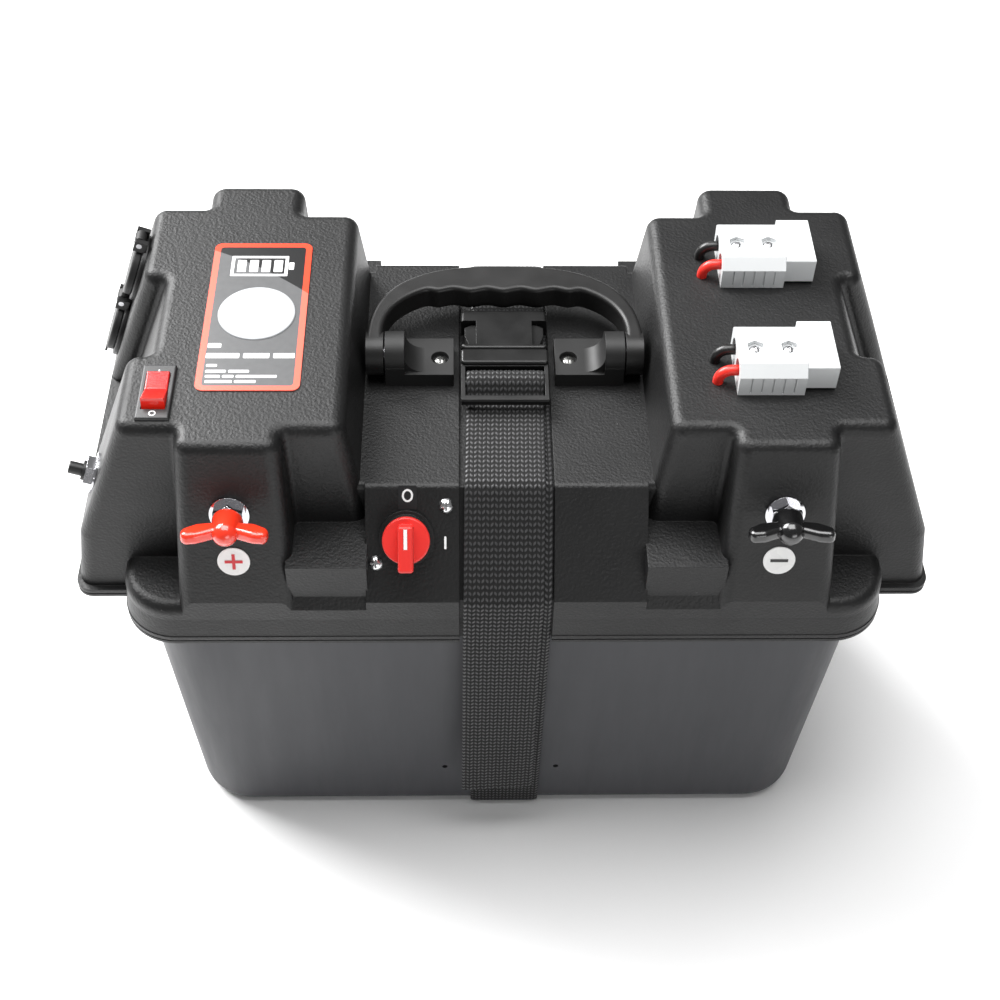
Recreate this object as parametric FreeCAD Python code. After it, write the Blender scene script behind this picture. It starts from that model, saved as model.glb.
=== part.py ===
"""Portable battery box: grey tub, black lid with outlets, strap, handle and the battery inside.

Frame: +Z up, +Y away from the front, origin at the centre of the tub's rest face. Millimetres.
"""
import FreeCAD, Part
import math
import os

V = FreeCAD.Vector
os.makedirs("parts", exist_ok=True)

# ---------------------------------------------------------------- driving dimensions
# tub
TUB_BOTTOM_X = 177.0          # half width at the bottom
TUB_BOTTOM_Y = 100.3          # half depth at the bottom
TUB_TOP_X = 186.4             # half width under the rim
TUB_TOP_Y = 107.4
TUB_CORNER_BOTTOM = 32.0
TUB_CORNER_TOP = 30.0
TUB_RIM_Z = 190.0             # top of the rim
TUB_RIM_X = 186.6
TUB_RIM_Y = 112.6
TUB_RIM_THICK = 3.6
TUB_WALL = 3.2
TUB_FLOOR = 7.0
TUB_EDGE_RADIUS = 9.0
TUB_GROOVE_HALF = 32.5        # strap groove under the tub
TUB_GROOVE_DEEP = 3.4
TUB_HOLE_R = 1.6              # two small holes in the front wall
TUB_HOLE_X = 32.0
TUB_HOLE_Z = 41.0

# lid
LID_WALL = 3.5
LIP_Z0 = 185.5
LIP_Z1 = 190.6
LIP_X = 192.8
LIP_Y = 118.8
LIP_CORNER = 28.0
SKIRT_X = 191.0
SKIRT_Y = 117.0
SKIRT_CORNER = 26.5
SKIRT_TOP = 212.0             # top of the corner blocks
SKIRT_ROUND = 6.0
FLARE_Z = 203.0               # the skirt widens below this to meet the lip
PANEL_TOE_Z = 216.0           # where the sloping front panel meets the skirt
DECK_Z = 260.0
DECK_FRONT = -79.5
DECK_BACK = 83.6
DECK_HALF = 76.0
PANEL_HALF = 69.0
SHELF_Z = 238.0               # small shelf between a terminal column and the panel
SHELF_Y = 113.0
SHELF_OUT = 107.0
POD_TOP = 300.0
KNEE_Z = 224.5                # where the pod's outer slope meets the wing's wall
WING_X = 218.5                # wing's half width at the lip
EDGE_ROUND = 6.5
CORNER_CONVEX = 7.6
CORNER_CONCAVE = 3.0
NOTCH_FRONT = -28.0
NOTCH_BACK = 27.0
NOTCH_DEEP = 12.0
POD_IN_TOP = 77.0
POD_IN_DECK = 71.5
POD_OUT_TOP = 183.0
POD_OUT_KNEE = 212.4
COLUMN_IN = 106.0
COLUMN_OUT = 155.5
COLUMN_FRONT_TOP = 91.0
COLUMN_BACK_TOP = 102.0
FRONT_DRAFT = 0.06            # shoulders' lean, mm per mm
CHANNEL_HALF = 23.2           # strap channel over the lid
CHANNEL_DEEP = 2.0
LID_SPLIT = 70.5              # where the moulding is divided into a middle and two ends
WING_SPLIT = 193.0            # where the left end is divided again, just outside the lip
WING_CUT_FRONT = -32.5        # the left wing is divided outside the walls of its recess
WING_CUT_BACK = 31.5

# battery in the tub
BATTERY_X = 153.0             # half width
BATTERY_Y = 86.0              # half depth
BATTERY_Z1 = 199.0            # top of the case
COVER_Z1 = 207.0              # top of the cover
POST_Y = -58.0
POST_R = 7.5
POST_Z1 = 221.0
CELLS = 6
PLATES_PER_CELL = 7
PLATE_T = 3.2

# strap and buckle
STRAP_W = 39.5
LOOP_X0 = -17.0               # left edge of the loop round the box
TAIL_X0 = -20.95              # left edge of the loose end
STRAP_T = 1.8
STRAP_GAP = 0.3
TAIL_END_Z = 46.0
BUCKLE_Z0 = 263.0
BUCKLE_T = 10.6
BUCKLE_SEAM_Y = 2.7           # where the two halves of the buckle meet
BUCKLE_HALF = 22.3            # half width across the strap

# handle
HANDLE_AXIS_Y = 0.5
HANDLE_AXIS_Z = 272.0
HANDLE_LEG_OUT = 70.6
HANDLE_LEG_IN = 61.6
HANDLE_TOP = 283.0
HANDLE_BOTTOM = 269.5
HUB_R = 11.3
PIN_R = 4.0
PIN_CLEAR = 0.08
PIN_SEAT = 8.0                # depth of each pin in its bracket
EYE_FLOOR = 2.5               # wall left outside each blind pivot hole in the handle

# terminals, outlets
TERMINAL_X = 131.5
TERMINAL_Z = 265.3
STUD_R = 3.9
EAR_HALF = 3.1                # half thickness of a wing nut's ear
NUT_TOP = 7.2                 # height of the flange nut on the column's face
CONNECTOR_L = 47.5
CONNECTOR_W = 36.4
CONNECTOR_H = 16.0
CONNECTOR_X = 109.5           # rear end of each connector
CONNECTOR_Y = (19.4, -57.6)   # front edge of each connector
HEAD_L = 15.4                 # length of the narrower mating end
HEAD_SHIFT = 3.6              # how far the mating end is set back
LEAD_R = 2.6
LEAD_X = 101.0                # where the leads go down through the lid
LEAD_Y = (9.2, 23.6)          # red, black, from the connector's front edge
SOCKET_Y = 57.0
SOCKET_S = (21.5, 64.0)       # distance down the slope from the pod's top
SOCKET_BORE_R = 10.5
SOCKET_FLANGE_R = 17.6
SOCKET_DEPTH = 30.0
CAP_PIN_X = 19.4              # cap hinge, up the slope from the socket's centre
CAP_PIN_Z = 5.2               # cap hinge, above the slope
CAP_PIN_R = 1.5
BREAKER_Y = -60.0
BREAKER_S = 56.0
SWITCH_X = -48.8
SWITCH_S = 25.2               # distance down the panel from the deck's edge
SWITCH_SCREWS = ((-29.6, 9.9), (-64.0, 38.1))    # across and down the panel
LABEL_BOX = (-149.0, -55.0, -99.0, 52.6)
WINDOW_X = -123.6
WINDOW_Y = -1.1
WINDOW_R = 19.3
ROCKER_BOX = (-174.4, -74.5, -158.5, -38.8)
ROCKER_TILT = 10.0
LABEL_T = 0.6


# ---------------------------------------------------------------- helpers
def save(shape, name):
    """Write one node."""
    if not shape.isValid():
        shape.fix(0.01, 0.01, 0.01)
    shape.exportStep("parts/" + name + ".step")
    print("%-24s solids %d  volume %.0f  valid %s" % (name, len(shape.Solids), shape.Volume, shape.isValid()))


def box(x0, y0, z0, x1, y1, z1):
    return Part.makeBox(x1 - x0, y1 - y0, z1 - z0, V(x0, y0, z0))


def cyl(r, h, base=(0, 0, 0), axis=(0, 0, 1)):
    return Part.makeCylinder(r, h, V(*base), V(*axis))


def polygon(points, z):
    return Part.makePolygon([V(x, y, z) for x, y in points] + [V(points[0][0], points[0][1], z)])


def rounded(points, radii, z):
    """Closed outline through points with an arc of its own radius at each corner."""
    edges = []
    count = len(points)
    arcs = []
    for i in range(count):
        before = V(points[i - 1][0], points[i - 1][1], z)
        here = V(points[i][0], points[i][1], z)
        after = V(points[(i + 1) % count][0], points[(i + 1) % count][1], z)
        to_before = (before - here).normalize()
        to_after = (after - here).normalize()
        half = to_before.getAngle(to_after) / 2
        reach = radii[i] / math.tan(half)
        middle = (to_before + to_after).normalize()
        centre = here + middle * (radii[i] / math.sin(half))
        arcs.append((here + to_before * reach, centre - middle * radii[i], here + to_after * reach))
    for i in range(count):
        start, mid, end = arcs[i]
        edges.append(Part.Arc(start, mid, end).toShape())
        edges.append(Part.LineSegment(end, arcs[(i + 1) % count][0]).toShape())
    return Part.Wire(edges)


def rect_outline(hx, hy, r, z):
    return rounded([(-hx, -hy), (hx, -hy), (hx, hy), (-hx, hy)], [r] * 4, z)


def loft(wires):
    return Part.makeLoft(wires, True, True)


def extrude(wire, vector):
    return Part.Face(wire).extrude(V(*vector))


def edges_at_z(shape, z, tol=0.01):
    return [e for e in shape.Edges if abs(e.BoundBox.ZMin - z) < tol and abs(e.BoundBox.ZMax - z) < tol]


def mirror_x(shape):
    return shape.mirror(V(0, 0, 0), V(1, 0, 0))


def fuse(shapes):
    whole = shapes[0].multiFuse(shapes[1:]) if len(shapes) > 1 else shapes[0]
    return whole.removeSplitter()


def yz_face(points, x):
    return Part.Face(Part.makePolygon([V(x, y, z) for y, z in points] + [V(x, points[0][0], points[0][1])]))


def placed(shape, origin, axis, degrees):
    """Turn a shape built about the origin, then carry it to origin."""
    out = shape.copy()
    out.Placement = FreeCAD.Placement(V(*origin), FreeCAD.Rotation(V(*axis), degrees))
    return out


def ribbon(points, thickness, width, x0):
    """Flat webbing: a strip of given thickness centred on a path in the YZ plane, extruded in X."""
    path = [V(0, y, z) for y, z in points]
    left = []
    right = []
    for i, here in enumerate(path):
        ahead = path[min(i + 1, len(path) - 1)]
        behind = path[max(i - 1, 0)]
        d_in = (here - behind).normalize() if i > 0 else (ahead - here).normalize()
        d_out = (ahead - here).normalize() if i < len(path) - 1 else d_in
        n_in = V(0, -d_in.z, d_in.y)
        n_out = V(0, -d_out.z, d_out.y)
        n_mid = (n_in + n_out).normalize()
        stretch = thickness / 2 / n_mid.dot(n_in)
        left.append(here + n_mid * stretch)
        right.append(here - n_mid * stretch)
    ring = left + right[::-1]
    return Part.Face(Part.makePolygon([V(x0, p.y, p.z) for p in ring + [ring[0]]])).extrude(V(width, 0, 0))


def tube(points, radius, bend):
    """Round lead along straight runs joined by tangent arcs."""
    path = [V(*p) for p in points]
    edges = []
    start = path[0]
    for i in range(1, len(path) - 1):
        to_before = (path[i - 1] - path[i]).normalize()
        to_after = (path[i + 1] - path[i]).normalize()
        half = to_before.getAngle(to_after) / 2
        reach = bend / math.tan(half)
        middle = (to_before + to_after).normalize()
        centre = path[i] + middle * (bend / math.sin(half))
        a = path[i] + to_before * reach
        b = path[i] + to_after * reach
        edges.append(Part.LineSegment(start, a).toShape())
        edges.append(Part.Arc(a, centre - middle * bend, b).toShape())
        start = b
    edges.append(Part.LineSegment(start, path[-1]).toShape())
    wire = Part.Wire(edges)
    direction = (path[1] - path[0]).normalize()
    circle = Part.Wire(Part.Circle(path[0], direction, radius).toShape())
    return wire.makePipeShell([circle], True, True)


def hexagon(across, height):
    r = across / math.sqrt(3)
    points = [(r * math.cos(math.radians(60 * k + 30)), r * math.sin(math.radians(60 * k + 30))) for k in range(6)]
    return extrude(polygon(points, 0), (0, 0, height))


def pan_screw(head_r, head_h, shank_r, shank_l, slot=True):
    """Cross-recess screw: domed head on z = 0, shank below it."""
    ball = (head_r ** 2 + head_h ** 2) / (2 * head_h)
    dome = Part.makeSphere(ball, V(0, 0, head_h - ball)).common(cyl(head_r, head_h))
    screw = dome.fuse(cyl(shank_r, shank_l, (0, 0, -shank_l)))
    if slot:
        arm = head_r * 0.62
        w = head_r * 0.11
        cross = box(-arm, -w, head_h * 0.35, arm, w, head_h * 2)
        cross = cross.fuse(box(-w, -arm, head_h * 0.35, w, arm, head_h * 2))
        screw = screw.cut(cross)
    return screw.removeSplitter()


# ---------------------------------------------------------------- tub
def make_tub():
    outer = loft([rect_outline(TUB_BOTTOM_X, TUB_BOTTOM_Y, TUB_CORNER_BOTTOM, 0),
                  rect_outline(TUB_TOP_X, TUB_TOP_Y, TUB_CORNER_TOP, TUB_RIM_Z)])
    outer = outer.makeFillet(TUB_EDGE_RADIUS, edges_at_z(outer, 0))
    rim = extrude(rect_outline(TUB_RIM_X, TUB_RIM_Y, SKIRT_CORNER - 4, TUB_RIM_Z - TUB_RIM_THICK),
                  (0, 0, TUB_RIM_THICK))
    lean = (TUB_TOP_X - TUB_BOTTOM_X) / TUB_RIM_Z
    shrink = TUB_WALL
    cavity = loft([rect_outline(TUB_BOTTOM_X - shrink + lean * TUB_FLOOR, TUB_BOTTOM_Y - shrink + lean * TUB_FLOOR,
                                TUB_CORNER_BOTTOM - shrink, TUB_FLOOR),
                   rect_outline(TUB_TOP_X - shrink, TUB_TOP_Y - shrink, TUB_CORNER_TOP - shrink, TUB_RIM_Z + 1)])
    groove = box(-TUB_GROOVE_HALF, -140, -1, TUB_GROOVE_HALF, 140, TUB_GROOVE_DEEP)
    tub = outer.fuse(rim).cut(cavity).cut(groove)
    for side in (-1, 1):
        tub = tub.cut(cyl(TUB_HOLE_R, 30, (side * TUB_HOLE_X, -120, TUB_HOLE_Z), (0, 1, 0)))
    return tub.removeSplitter()


# ---------------------------------------------------------------- lid
def along(top, knee, z):
    """Linear value that is top at the pod's top and knee at the knee."""
    return top + (knee - top) * (POD_TOP - z) / (POD_TOP - KNEE_Z)


def pod_points(z):
    """Plan outline of the right-hand pod at a height, anticlockwise, with corner radii."""
    drop = POD_TOP - z
    inner = POD_IN_TOP - drop * (POD_IN_TOP - POD_IN_DECK) / (POD_TOP - DECK_Z)
    if z >= KNEE_Z:
        outer = along(POD_OUT_TOP, POD_OUT_KNEE, z)
    else:
        outer = POD_OUT_KNEE + (WING_X - POD_OUT_KNEE) * (KNEE_Z - z) / (KNEE_Z - LIP_Z0)
    lean = drop * FRONT_DRAFT
    column_front = COLUMN_FRONT_TOP + drop * (SKIRT_Y - COLUMN_FRONT_TOP) / (POD_TOP - PANEL_TOE_Z)
    column_back = COLUMN_BACK_TOP + drop * (SKIRT_Y - COLUMN_BACK_TOP) / (POD_TOP - PANEL_TOE_Z)
    col_in = COLUMN_IN - drop * 0.03
    col_out = COLUMN_OUT + drop * 0.06
    r, c = CORNER_CONVEX, CORNER_CONCAVE
    corners = [((inner, -80 - lean), r), ((col_in, -80 - lean), c), ((col_in, -column_front), r),
               ((col_out, -column_front), r), ((col_out, -79 - lean), c), ((outer, -79 - lean), r)]
    notch = [((outer, NOTCH_FRONT), r), ((outer - NOTCH_DEEP, NOTCH_FRONT), c),
             ((outer - NOTCH_DEEP, NOTCH_BACK), c), ((outer, NOTCH_BACK), r)]
    rest = [((outer, 84 + lean), r), ((col_out, 84 + lean), c), ((col_out, column_back), r),
            ((col_in, column_back), r), ((col_in, 79 + lean), c), ((inner, 79 + lean), r)]
    return corners, notch, rest


def pod_wire(z, with_notch):
    corners, notch, rest = pod_points(z)
    chain = corners + (notch if with_notch else []) + rest
    return rounded([p for p, r in chain], [r for p, r in chain], z)


def pod_cavity_wire(z, with_notch):
    corners, notch, rest = pod_points(z)
    chain = corners + (notch if with_notch else []) + rest
    return polygon([p for p, r in chain], z).makeOffset2D(-LID_WALL, 2)


def deck_profile(inset):
    """Side view of the deck with its sloping front and back panels."""
    slope = math.atan2(DECK_Z - PANEL_TOE_Z, SKIRT_Y + DECK_FRONT)
    slope_back = math.atan2(DECK_Z - PANEL_TOE_Z, SKIRT_Y - DECK_BACK)
    run = inset * math.tan(slope / 2)
    run_back = inset * math.tan(slope_back / 2)
    toe = inset * math.tan((math.pi / 2 - slope) / 2)
    toe_back = inset * math.tan((math.pi / 2 - slope_back) / 2)
    return [(-SKIRT_Y + inset, LIP_Z0), (-SKIRT_Y + inset, PANEL_TOE_Z - toe), (DECK_FRONT + run, DECK_Z - inset),
            (DECK_BACK - run_back, DECK_Z - inset), (SKIRT_Y - inset, PANEL_TOE_Z - toe_back),
            (SKIRT_Y - inset, LIP_Z0)]


def make_pod_outer():
    upper = loft([pod_wire(KNEE_Z, True), pod_wire(POD_TOP, True)])
    upper = upper.makeFillet(EDGE_ROUND, edges_at_z(upper, POD_TOP))
    lower = loft([pod_wire(LIP_Z0, False), pod_wire(KNEE_Z, False)])
    clip = box(0, -SKIRT_Y, LIP_Z0 - 1, 300, SKIRT_Y, POD_TOP + 1)
    return upper.fuse(lower).common(clip)


def make_pod_cavity():
    upper = fuse([loft([pod_cavity_wire(KNEE_Z - 4.0, True), pod_cavity_wire(KNEE_Z, True)]),
                  loft([pod_cavity_wire(KNEE_Z, True), pod_cavity_wire(POD_TOP - LID_WALL, True)])])
    lower = loft([pod_cavity_wire(LIP_Z0 - 2, False), pod_cavity_wire(KNEE_Z - LID_WALL, False)])
    inner = SKIRT_Y - LID_WALL
    clip = box(0, -inner, LIP_Z0 - 3, 300, inner, POD_TOP + 1)
    return upper.fuse(lower).common(clip)


def mirrored_four(solid):
    """The same solid in all four quadrants."""
    right = [solid, solid.mirror(V(0, 0, 0), V(0, 1, 0))]
    return right + [mirror_x(s) for s in right]


def make_shelves():
    """Shelf beside the panel, front and back, with a chamfered toe on the skirt."""
    side = [(0, LIP_Z0), (SKIRT_Y, LIP_Z0), (SKIRT_Y, SKIRT_TOP - 2), (SHELF_Y, PANEL_TOE_Z),
            (SHELF_Y, SHELF_Z), (0, SHELF_Z)]
    return mirrored_four(yz_face(side, PANEL_HALF - 1).extrude(V(SHELF_OUT - PANEL_HALF + 1, 0, 0)))


def make_shelf_rooms():
    front = SHELF_Y - LID_WALL
    side = [(0, LIP_Z0), (front, LIP_Z0), (front, SHELF_Z - LID_WALL), (0, SHELF_Z - LID_WALL)]
    start = PANEL_HALF + LID_WALL - 1
    return mirrored_four(yz_face(side, start).extrude(V(SHELF_OUT - start, 0, 0)))


def lip_layer(grow, z0, z1):
    ring = extrude(rect_outline(LIP_X + grow, LIP_Y + grow, LIP_CORNER + grow, z0), (0, 0, z1 - z0))
    wing_y = 88.8 + grow
    wing = extrude(rounded([(-WING_X - 1 - grow, -wing_y), (WING_X + 1 + grow, -wing_y),
                            (WING_X + 1 + grow, wing_y), (-WING_X - 1 - grow, wing_y)],
                           [8.5] * 4, z0), (0, 0, z1 - z0))
    return ring.fuse(wing)


def make_lid():
    skirt = extrude(rect_outline(SKIRT_X, SKIRT_Y, SKIRT_CORNER, LIP_Z0), (0, 0, SKIRT_TOP - LIP_Z0))
    skirt = skirt.makeFillet(SKIRT_ROUND, edges_at_z(skirt, SKIRT_TOP))
    panel = yz_face(deck_profile(0), -PANEL_HALF).extrude(V(2 * PANEL_HALF, 0, 0))
    edges = [e for e in panel.Edges if abs(e.BoundBox.ZMin - DECK_Z) < 0.01 and e.BoundBox.XLength > 100]
    panel = panel.makeFillet(4.0, edges)
    deck = box(-DECK_HALF, DECK_FRONT, 200, DECK_HALF, DECK_BACK - 4.5, DECK_Z)
    deck = deck.makeFillet(3.0, [e for e in edges_at_z(deck, DECK_Z) if e.BoundBox.XLength > 100])
    pod = make_pod_outer()
    lip = fuse([lip_layer(0, LIP_Z0, 187.4), lip_layer(-0.9, 187.4, 188.1), lip_layer(0, 188.1, LIP_Z1)])
    flare = loft([rect_outline(LIP_X - 0.3, LIP_Y - 0.3, LIP_CORNER - 0.3, LIP_Z1 - 0.4),
                  rect_outline(SKIRT_X - 0.05, SKIRT_Y - 0.05, SKIRT_CORNER, FLARE_Z)])
    outer = fuse([skirt, panel, deck, pod, mirror_x(pod), lip, flare] + make_shelves())

    wall = LID_WALL
    ring_cavity = extrude(rect_outline(SKIRT_X - wall, SKIRT_Y - wall, SKIRT_CORNER - wall, LIP_Z0 - 2),
                          (0, 0, 6.8))
    ring_upper = extrude(rect_outline(SKIRT_X - 2 * wall, SKIRT_Y - 2 * wall, SKIRT_CORNER - 2 * wall, LIP_Z0),
                         (0, 0, SKIRT_TOP - wall - LIP_Z0))
    inner_clip = box(-300, -SKIRT_Y + 2 * wall, TUB_RIM_Z, 300, SKIRT_Y - 2 * wall, 400)
    low_clip = box(-300, -SKIRT_Y + wall, LIP_Z0 - 3, 300, SKIRT_Y - wall, TUB_RIM_Z + 0.31)
    panel_cavity = yz_face(deck_profile(wall), -PANEL_HALF + wall).extrude(V(2 * (PANEL_HALF - wall), 0, 0))
    deck_cavity = box(-DECK_HALF, DECK_FRONT + wall, 195, DECK_HALF, DECK_BACK - 4.5 - wall, DECK_Z - wall)
    pod_cavity = make_pod_cavity()
    rooms = fuse([ring_upper, panel_cavity, deck_cavity, pod_cavity, mirror_x(pod_cavity)] + make_shelf_rooms())
    cavity = rooms.common(inner_clip).fuse(rooms.common(low_clip)).fuse(ring_cavity)
    channel_outer = yz_face([(-130, 180), (-130, 300), (130, 300), (130, 180)], -CHANNEL_HALF)
    band = channel_outer.extrude(V(2 * CHANNEL_HALF, 0, 0))
    floor = deck_profile(CHANNEL_DEEP)
    floor = [(floor[0][0], 170)] + floor[1:-1] + [(floor[-1][0], 170)]
    band = band.cut(yz_face(floor, -CHANNEL_HALF - 1).extrude(V(2 * CHANNEL_HALF + 2, 0, 0)))
    return outer.cut(cavity).cut(band).removeSplitter()


# ---------------------------------------------------------------- battery in the tub
def make_battery():
    wall = 4.0
    case = box(-BATTERY_X, -BATTERY_Y, TUB_FLOOR, BATTERY_X, BATTERY_Y, BATTERY_Z1)
    case = case.makeFillet(4.0, [e for e in case.Edges if e.BoundBox.ZLength > 100])
    pitch = 2 * (BATTERY_X - wall) / CELLS
    for k in range(CELLS):
        x0 = -BATTERY_X + wall + k * pitch
        case = case.cut(box(x0 + 1, -BATTERY_Y + wall, TUB_FLOOR + wall, x0 + pitch - 1, BATTERY_Y - wall, 300))
    cover = box(-BATTERY_X, -BATTERY_Y, BATTERY_Z1, BATTERY_X, BATTERY_Y, COVER_Z1)
    cover = cover.makeFillet(4.0, [e for e in cover.Edges if e.BoundBox.ZLength > 5])
    cover = cover.makeFillet(2.5, edges_at_z(cover, COVER_Z1))
    plates = []
    for k in range(CELLS):
        centre = -BATTERY_X + wall + (k + 0.5) * pitch
        for j in range(PLATES_PER_CELL):
            x = centre + (j - (PLATES_PER_CELL - 1) / 2) * 6.2
            plates.append(box(x - PLATE_T / 2, -70, 13, x + PLATE_T / 2, 70, 163))
    save(case, "battery_case")
    save(cover, "battery_cover")
    save(Part.makeCompound(plates), "battery_plates")
    posts = []
    for side in (-1, 1):
        foot = cyl(POST_R + 4, 2.5, (side * TERMINAL_X, POST_Y, COVER_Z1))
        post = Part.makeCone(POST_R, POST_R - 1, POST_Z1 - COVER_Z1, V(side * TERMINAL_X, POST_Y, COVER_Z1))
        posts.append(foot.fuse(post).removeSplitter())
    save(Part.makeCompound(posts), "battery_posts")


# ---------------------------------------------------------------- strap and buckle
def panel_point(s, off):
    """Point in the YZ plane a distance s down the front panel and off above it."""
    length = math.hypot(SKIRT_Y + DECK_FRONT, DECK_Z - PANEL_TOE_Z)
    dy = (-SKIRT_Y - DECK_FRONT) / length
    dz = (PANEL_TOE_Z - DECK_Z) / length
    return (DECK_FRONT + dy * s + dz * off, DECK_Z + dz * s - dy * off)


def strap_lid_path(gap, start_y, end_y):
    """Strap centre line over the channelled lid, from the front skirt to the back skirt."""
    floor = deck_profile(CHANNEL_DEEP)
    lift = gap + STRAP_T / 2
    front_slope = math.atan2(DECK_Z - PANEL_TOE_Z, SKIRT_Y + DECK_FRONT)
    back_slope = math.atan2(DECK_Z - PANEL_TOE_Z, SKIRT_Y - DECK_BACK)
    front = [(floor[1][0] - lift, floor[1][1] + lift * math.tan((math.pi / 2 - front_slope) / 2)),
             (floor[2][0] - lift * math.tan(front_slope / 2), floor[2][1] + lift)]
    back = [(floor[3][0] + lift * math.tan(back_slope / 2), floor[3][1] + lift),
            (floor[4][0] + lift, floor[4][1] + lift * math.tan((math.pi / 2 - back_slope) / 2))]
    top = floor[2][1] + lift
    if end_y is None:
        return [(front[0][0], LIP_Z1 - 0.2)] + front + [(start_y, top)]
    return [(end_y, top)] + back + [(back[1][0], LIP_Z1 - 0.2)]


def make_strap():
    front = strap_lid_path(STRAP_GAP, -14.0, None)
    back = strap_lid_path(STRAP_GAP, None, 33.0)
    upper = ribbon(front, STRAP_T, STRAP_W, LOOP_X0).fuse(ribbon(back, STRAP_T, STRAP_W, LOOP_X0))
    save(Part.makeCompound(upper.Solids), "strap_upper")

    low = TUB_GROOVE_DEEP - STRAP_GAP - STRAP_T / 2
    y_top = front[0][0]
    z_top = LIP_Z1 - 0.5
    y_low = -TUB_BOTTOM_Y - STRAP_T / 2 - 0.6
    front_run = [(y_top, z_top), (y_top, LIP_Z0 - 3), (y_low - 0.1, 6.4), (y_low + 0.9, 3.1), (y_low + 3.4, low)]
    lower = front_run + [(-y, z) for y, z in reversed(front_run)]
    save(ribbon(lower, STRAP_T, STRAP_W, LOOP_X0), "strap_lower")

    gap = STRAP_GAP + STRAP_T + 0.5
    tail = strap_lid_path(gap, -30.0, None)
    tail = [(tail[0][0] - 0.8, TAIL_END_Z), (tail[0][0] - 0.4, 110)] + tail
    save(ribbon(tail, STRAP_T, STRAP_W, TAIL_X0), "strap_tail")


def make_buckle():
    z0, z1 = BUCKLE_Z0, BUCKLE_Z0 + BUCKLE_T
    mid = (z0 + z1) / 2
    female = box(-BUCKLE_HALF, BUCKLE_SEAM_Y + 0.3, z0, BUCKLE_HALF, 32.0, z1)
    female = female.makeFillet(3.0, [e for e in female.Edges if e.BoundBox.ZLength > 5])
    female = female.makeFillet(1.5, edges_at_z(female, z1))
    female = female.cut(box(-14.6, 1, z0 + 2.2, 14.6, 25, z1 - 2.2))
    for side in (-1, 1):
        low, high = sorted((side * 14.5, side * 30))
        female = female.cut(box(low, 5.5, z0 - 1, high, 23.5, z1 + 1))
        low, high = sorted((side * 14, side * 19.5))
        female = female.cut(box(low, 1, z0 + 2.2, high, 7, z1 - 2.2))
    female = female.cut(box(-19.5, 26.4, z0 - 1, 19.5, 29.2, z1 - 3.4))
    save(female.removeSplitter(), "buckle_female")

    male = box(-BUCKLE_HALF, -7.6, z0, BUCKLE_HALF, BUCKLE_SEAM_Y, z1)
    male = male.makeFillet(2.0, [e for e in male.Edges if e.BoundBox.ZLength > 5])
    male = male.makeFillet(1.2, edges_at_z(male, z1))
    rail = [(-30.6, 266.0), (-30.6, 268.4), (-29.8, 269.2), (-4, z1 - 2.0), (-4, z0 - 0.2), (-22, z0 - 0.2)]
    frame = yz_face(rail, -22.1).extrude(V(44.2, 0, 0))
    frame = frame.cut(box(-20.1, -27.2, z0 - 2, 20.1, -8.0, z1 + 2))
    bar = cyl(2.1, 41.0, (-20.5, -17.0, mid - 0.6), (1, 0, 0))
    tongue = box(-5.0, BUCKLE_SEAM_Y - 0.4, mid - 2.6, 5.0, 22.0, mid + 2.6)
    save(fuse([male, frame, bar, tongue]), "buckle_male")

    for side, name in ((-1, "left"), (1, "right")):
        arm = [(9.5, 3.0), (13.0, 3.0), (14.2, 6.6), (18.3, 8.0), (20.4, 14.5), (20.4, 20.4),
               (17.0, 22.5), (13.2, 22.5), (13.2, 13.0), (10.6, 10.0)]
        prong = extrude(polygon([(side * x, y) for x, y in arm], mid - 2.8), (0, 0, 5.6))
        save(prong, "buckle_prong_" + name)


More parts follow.
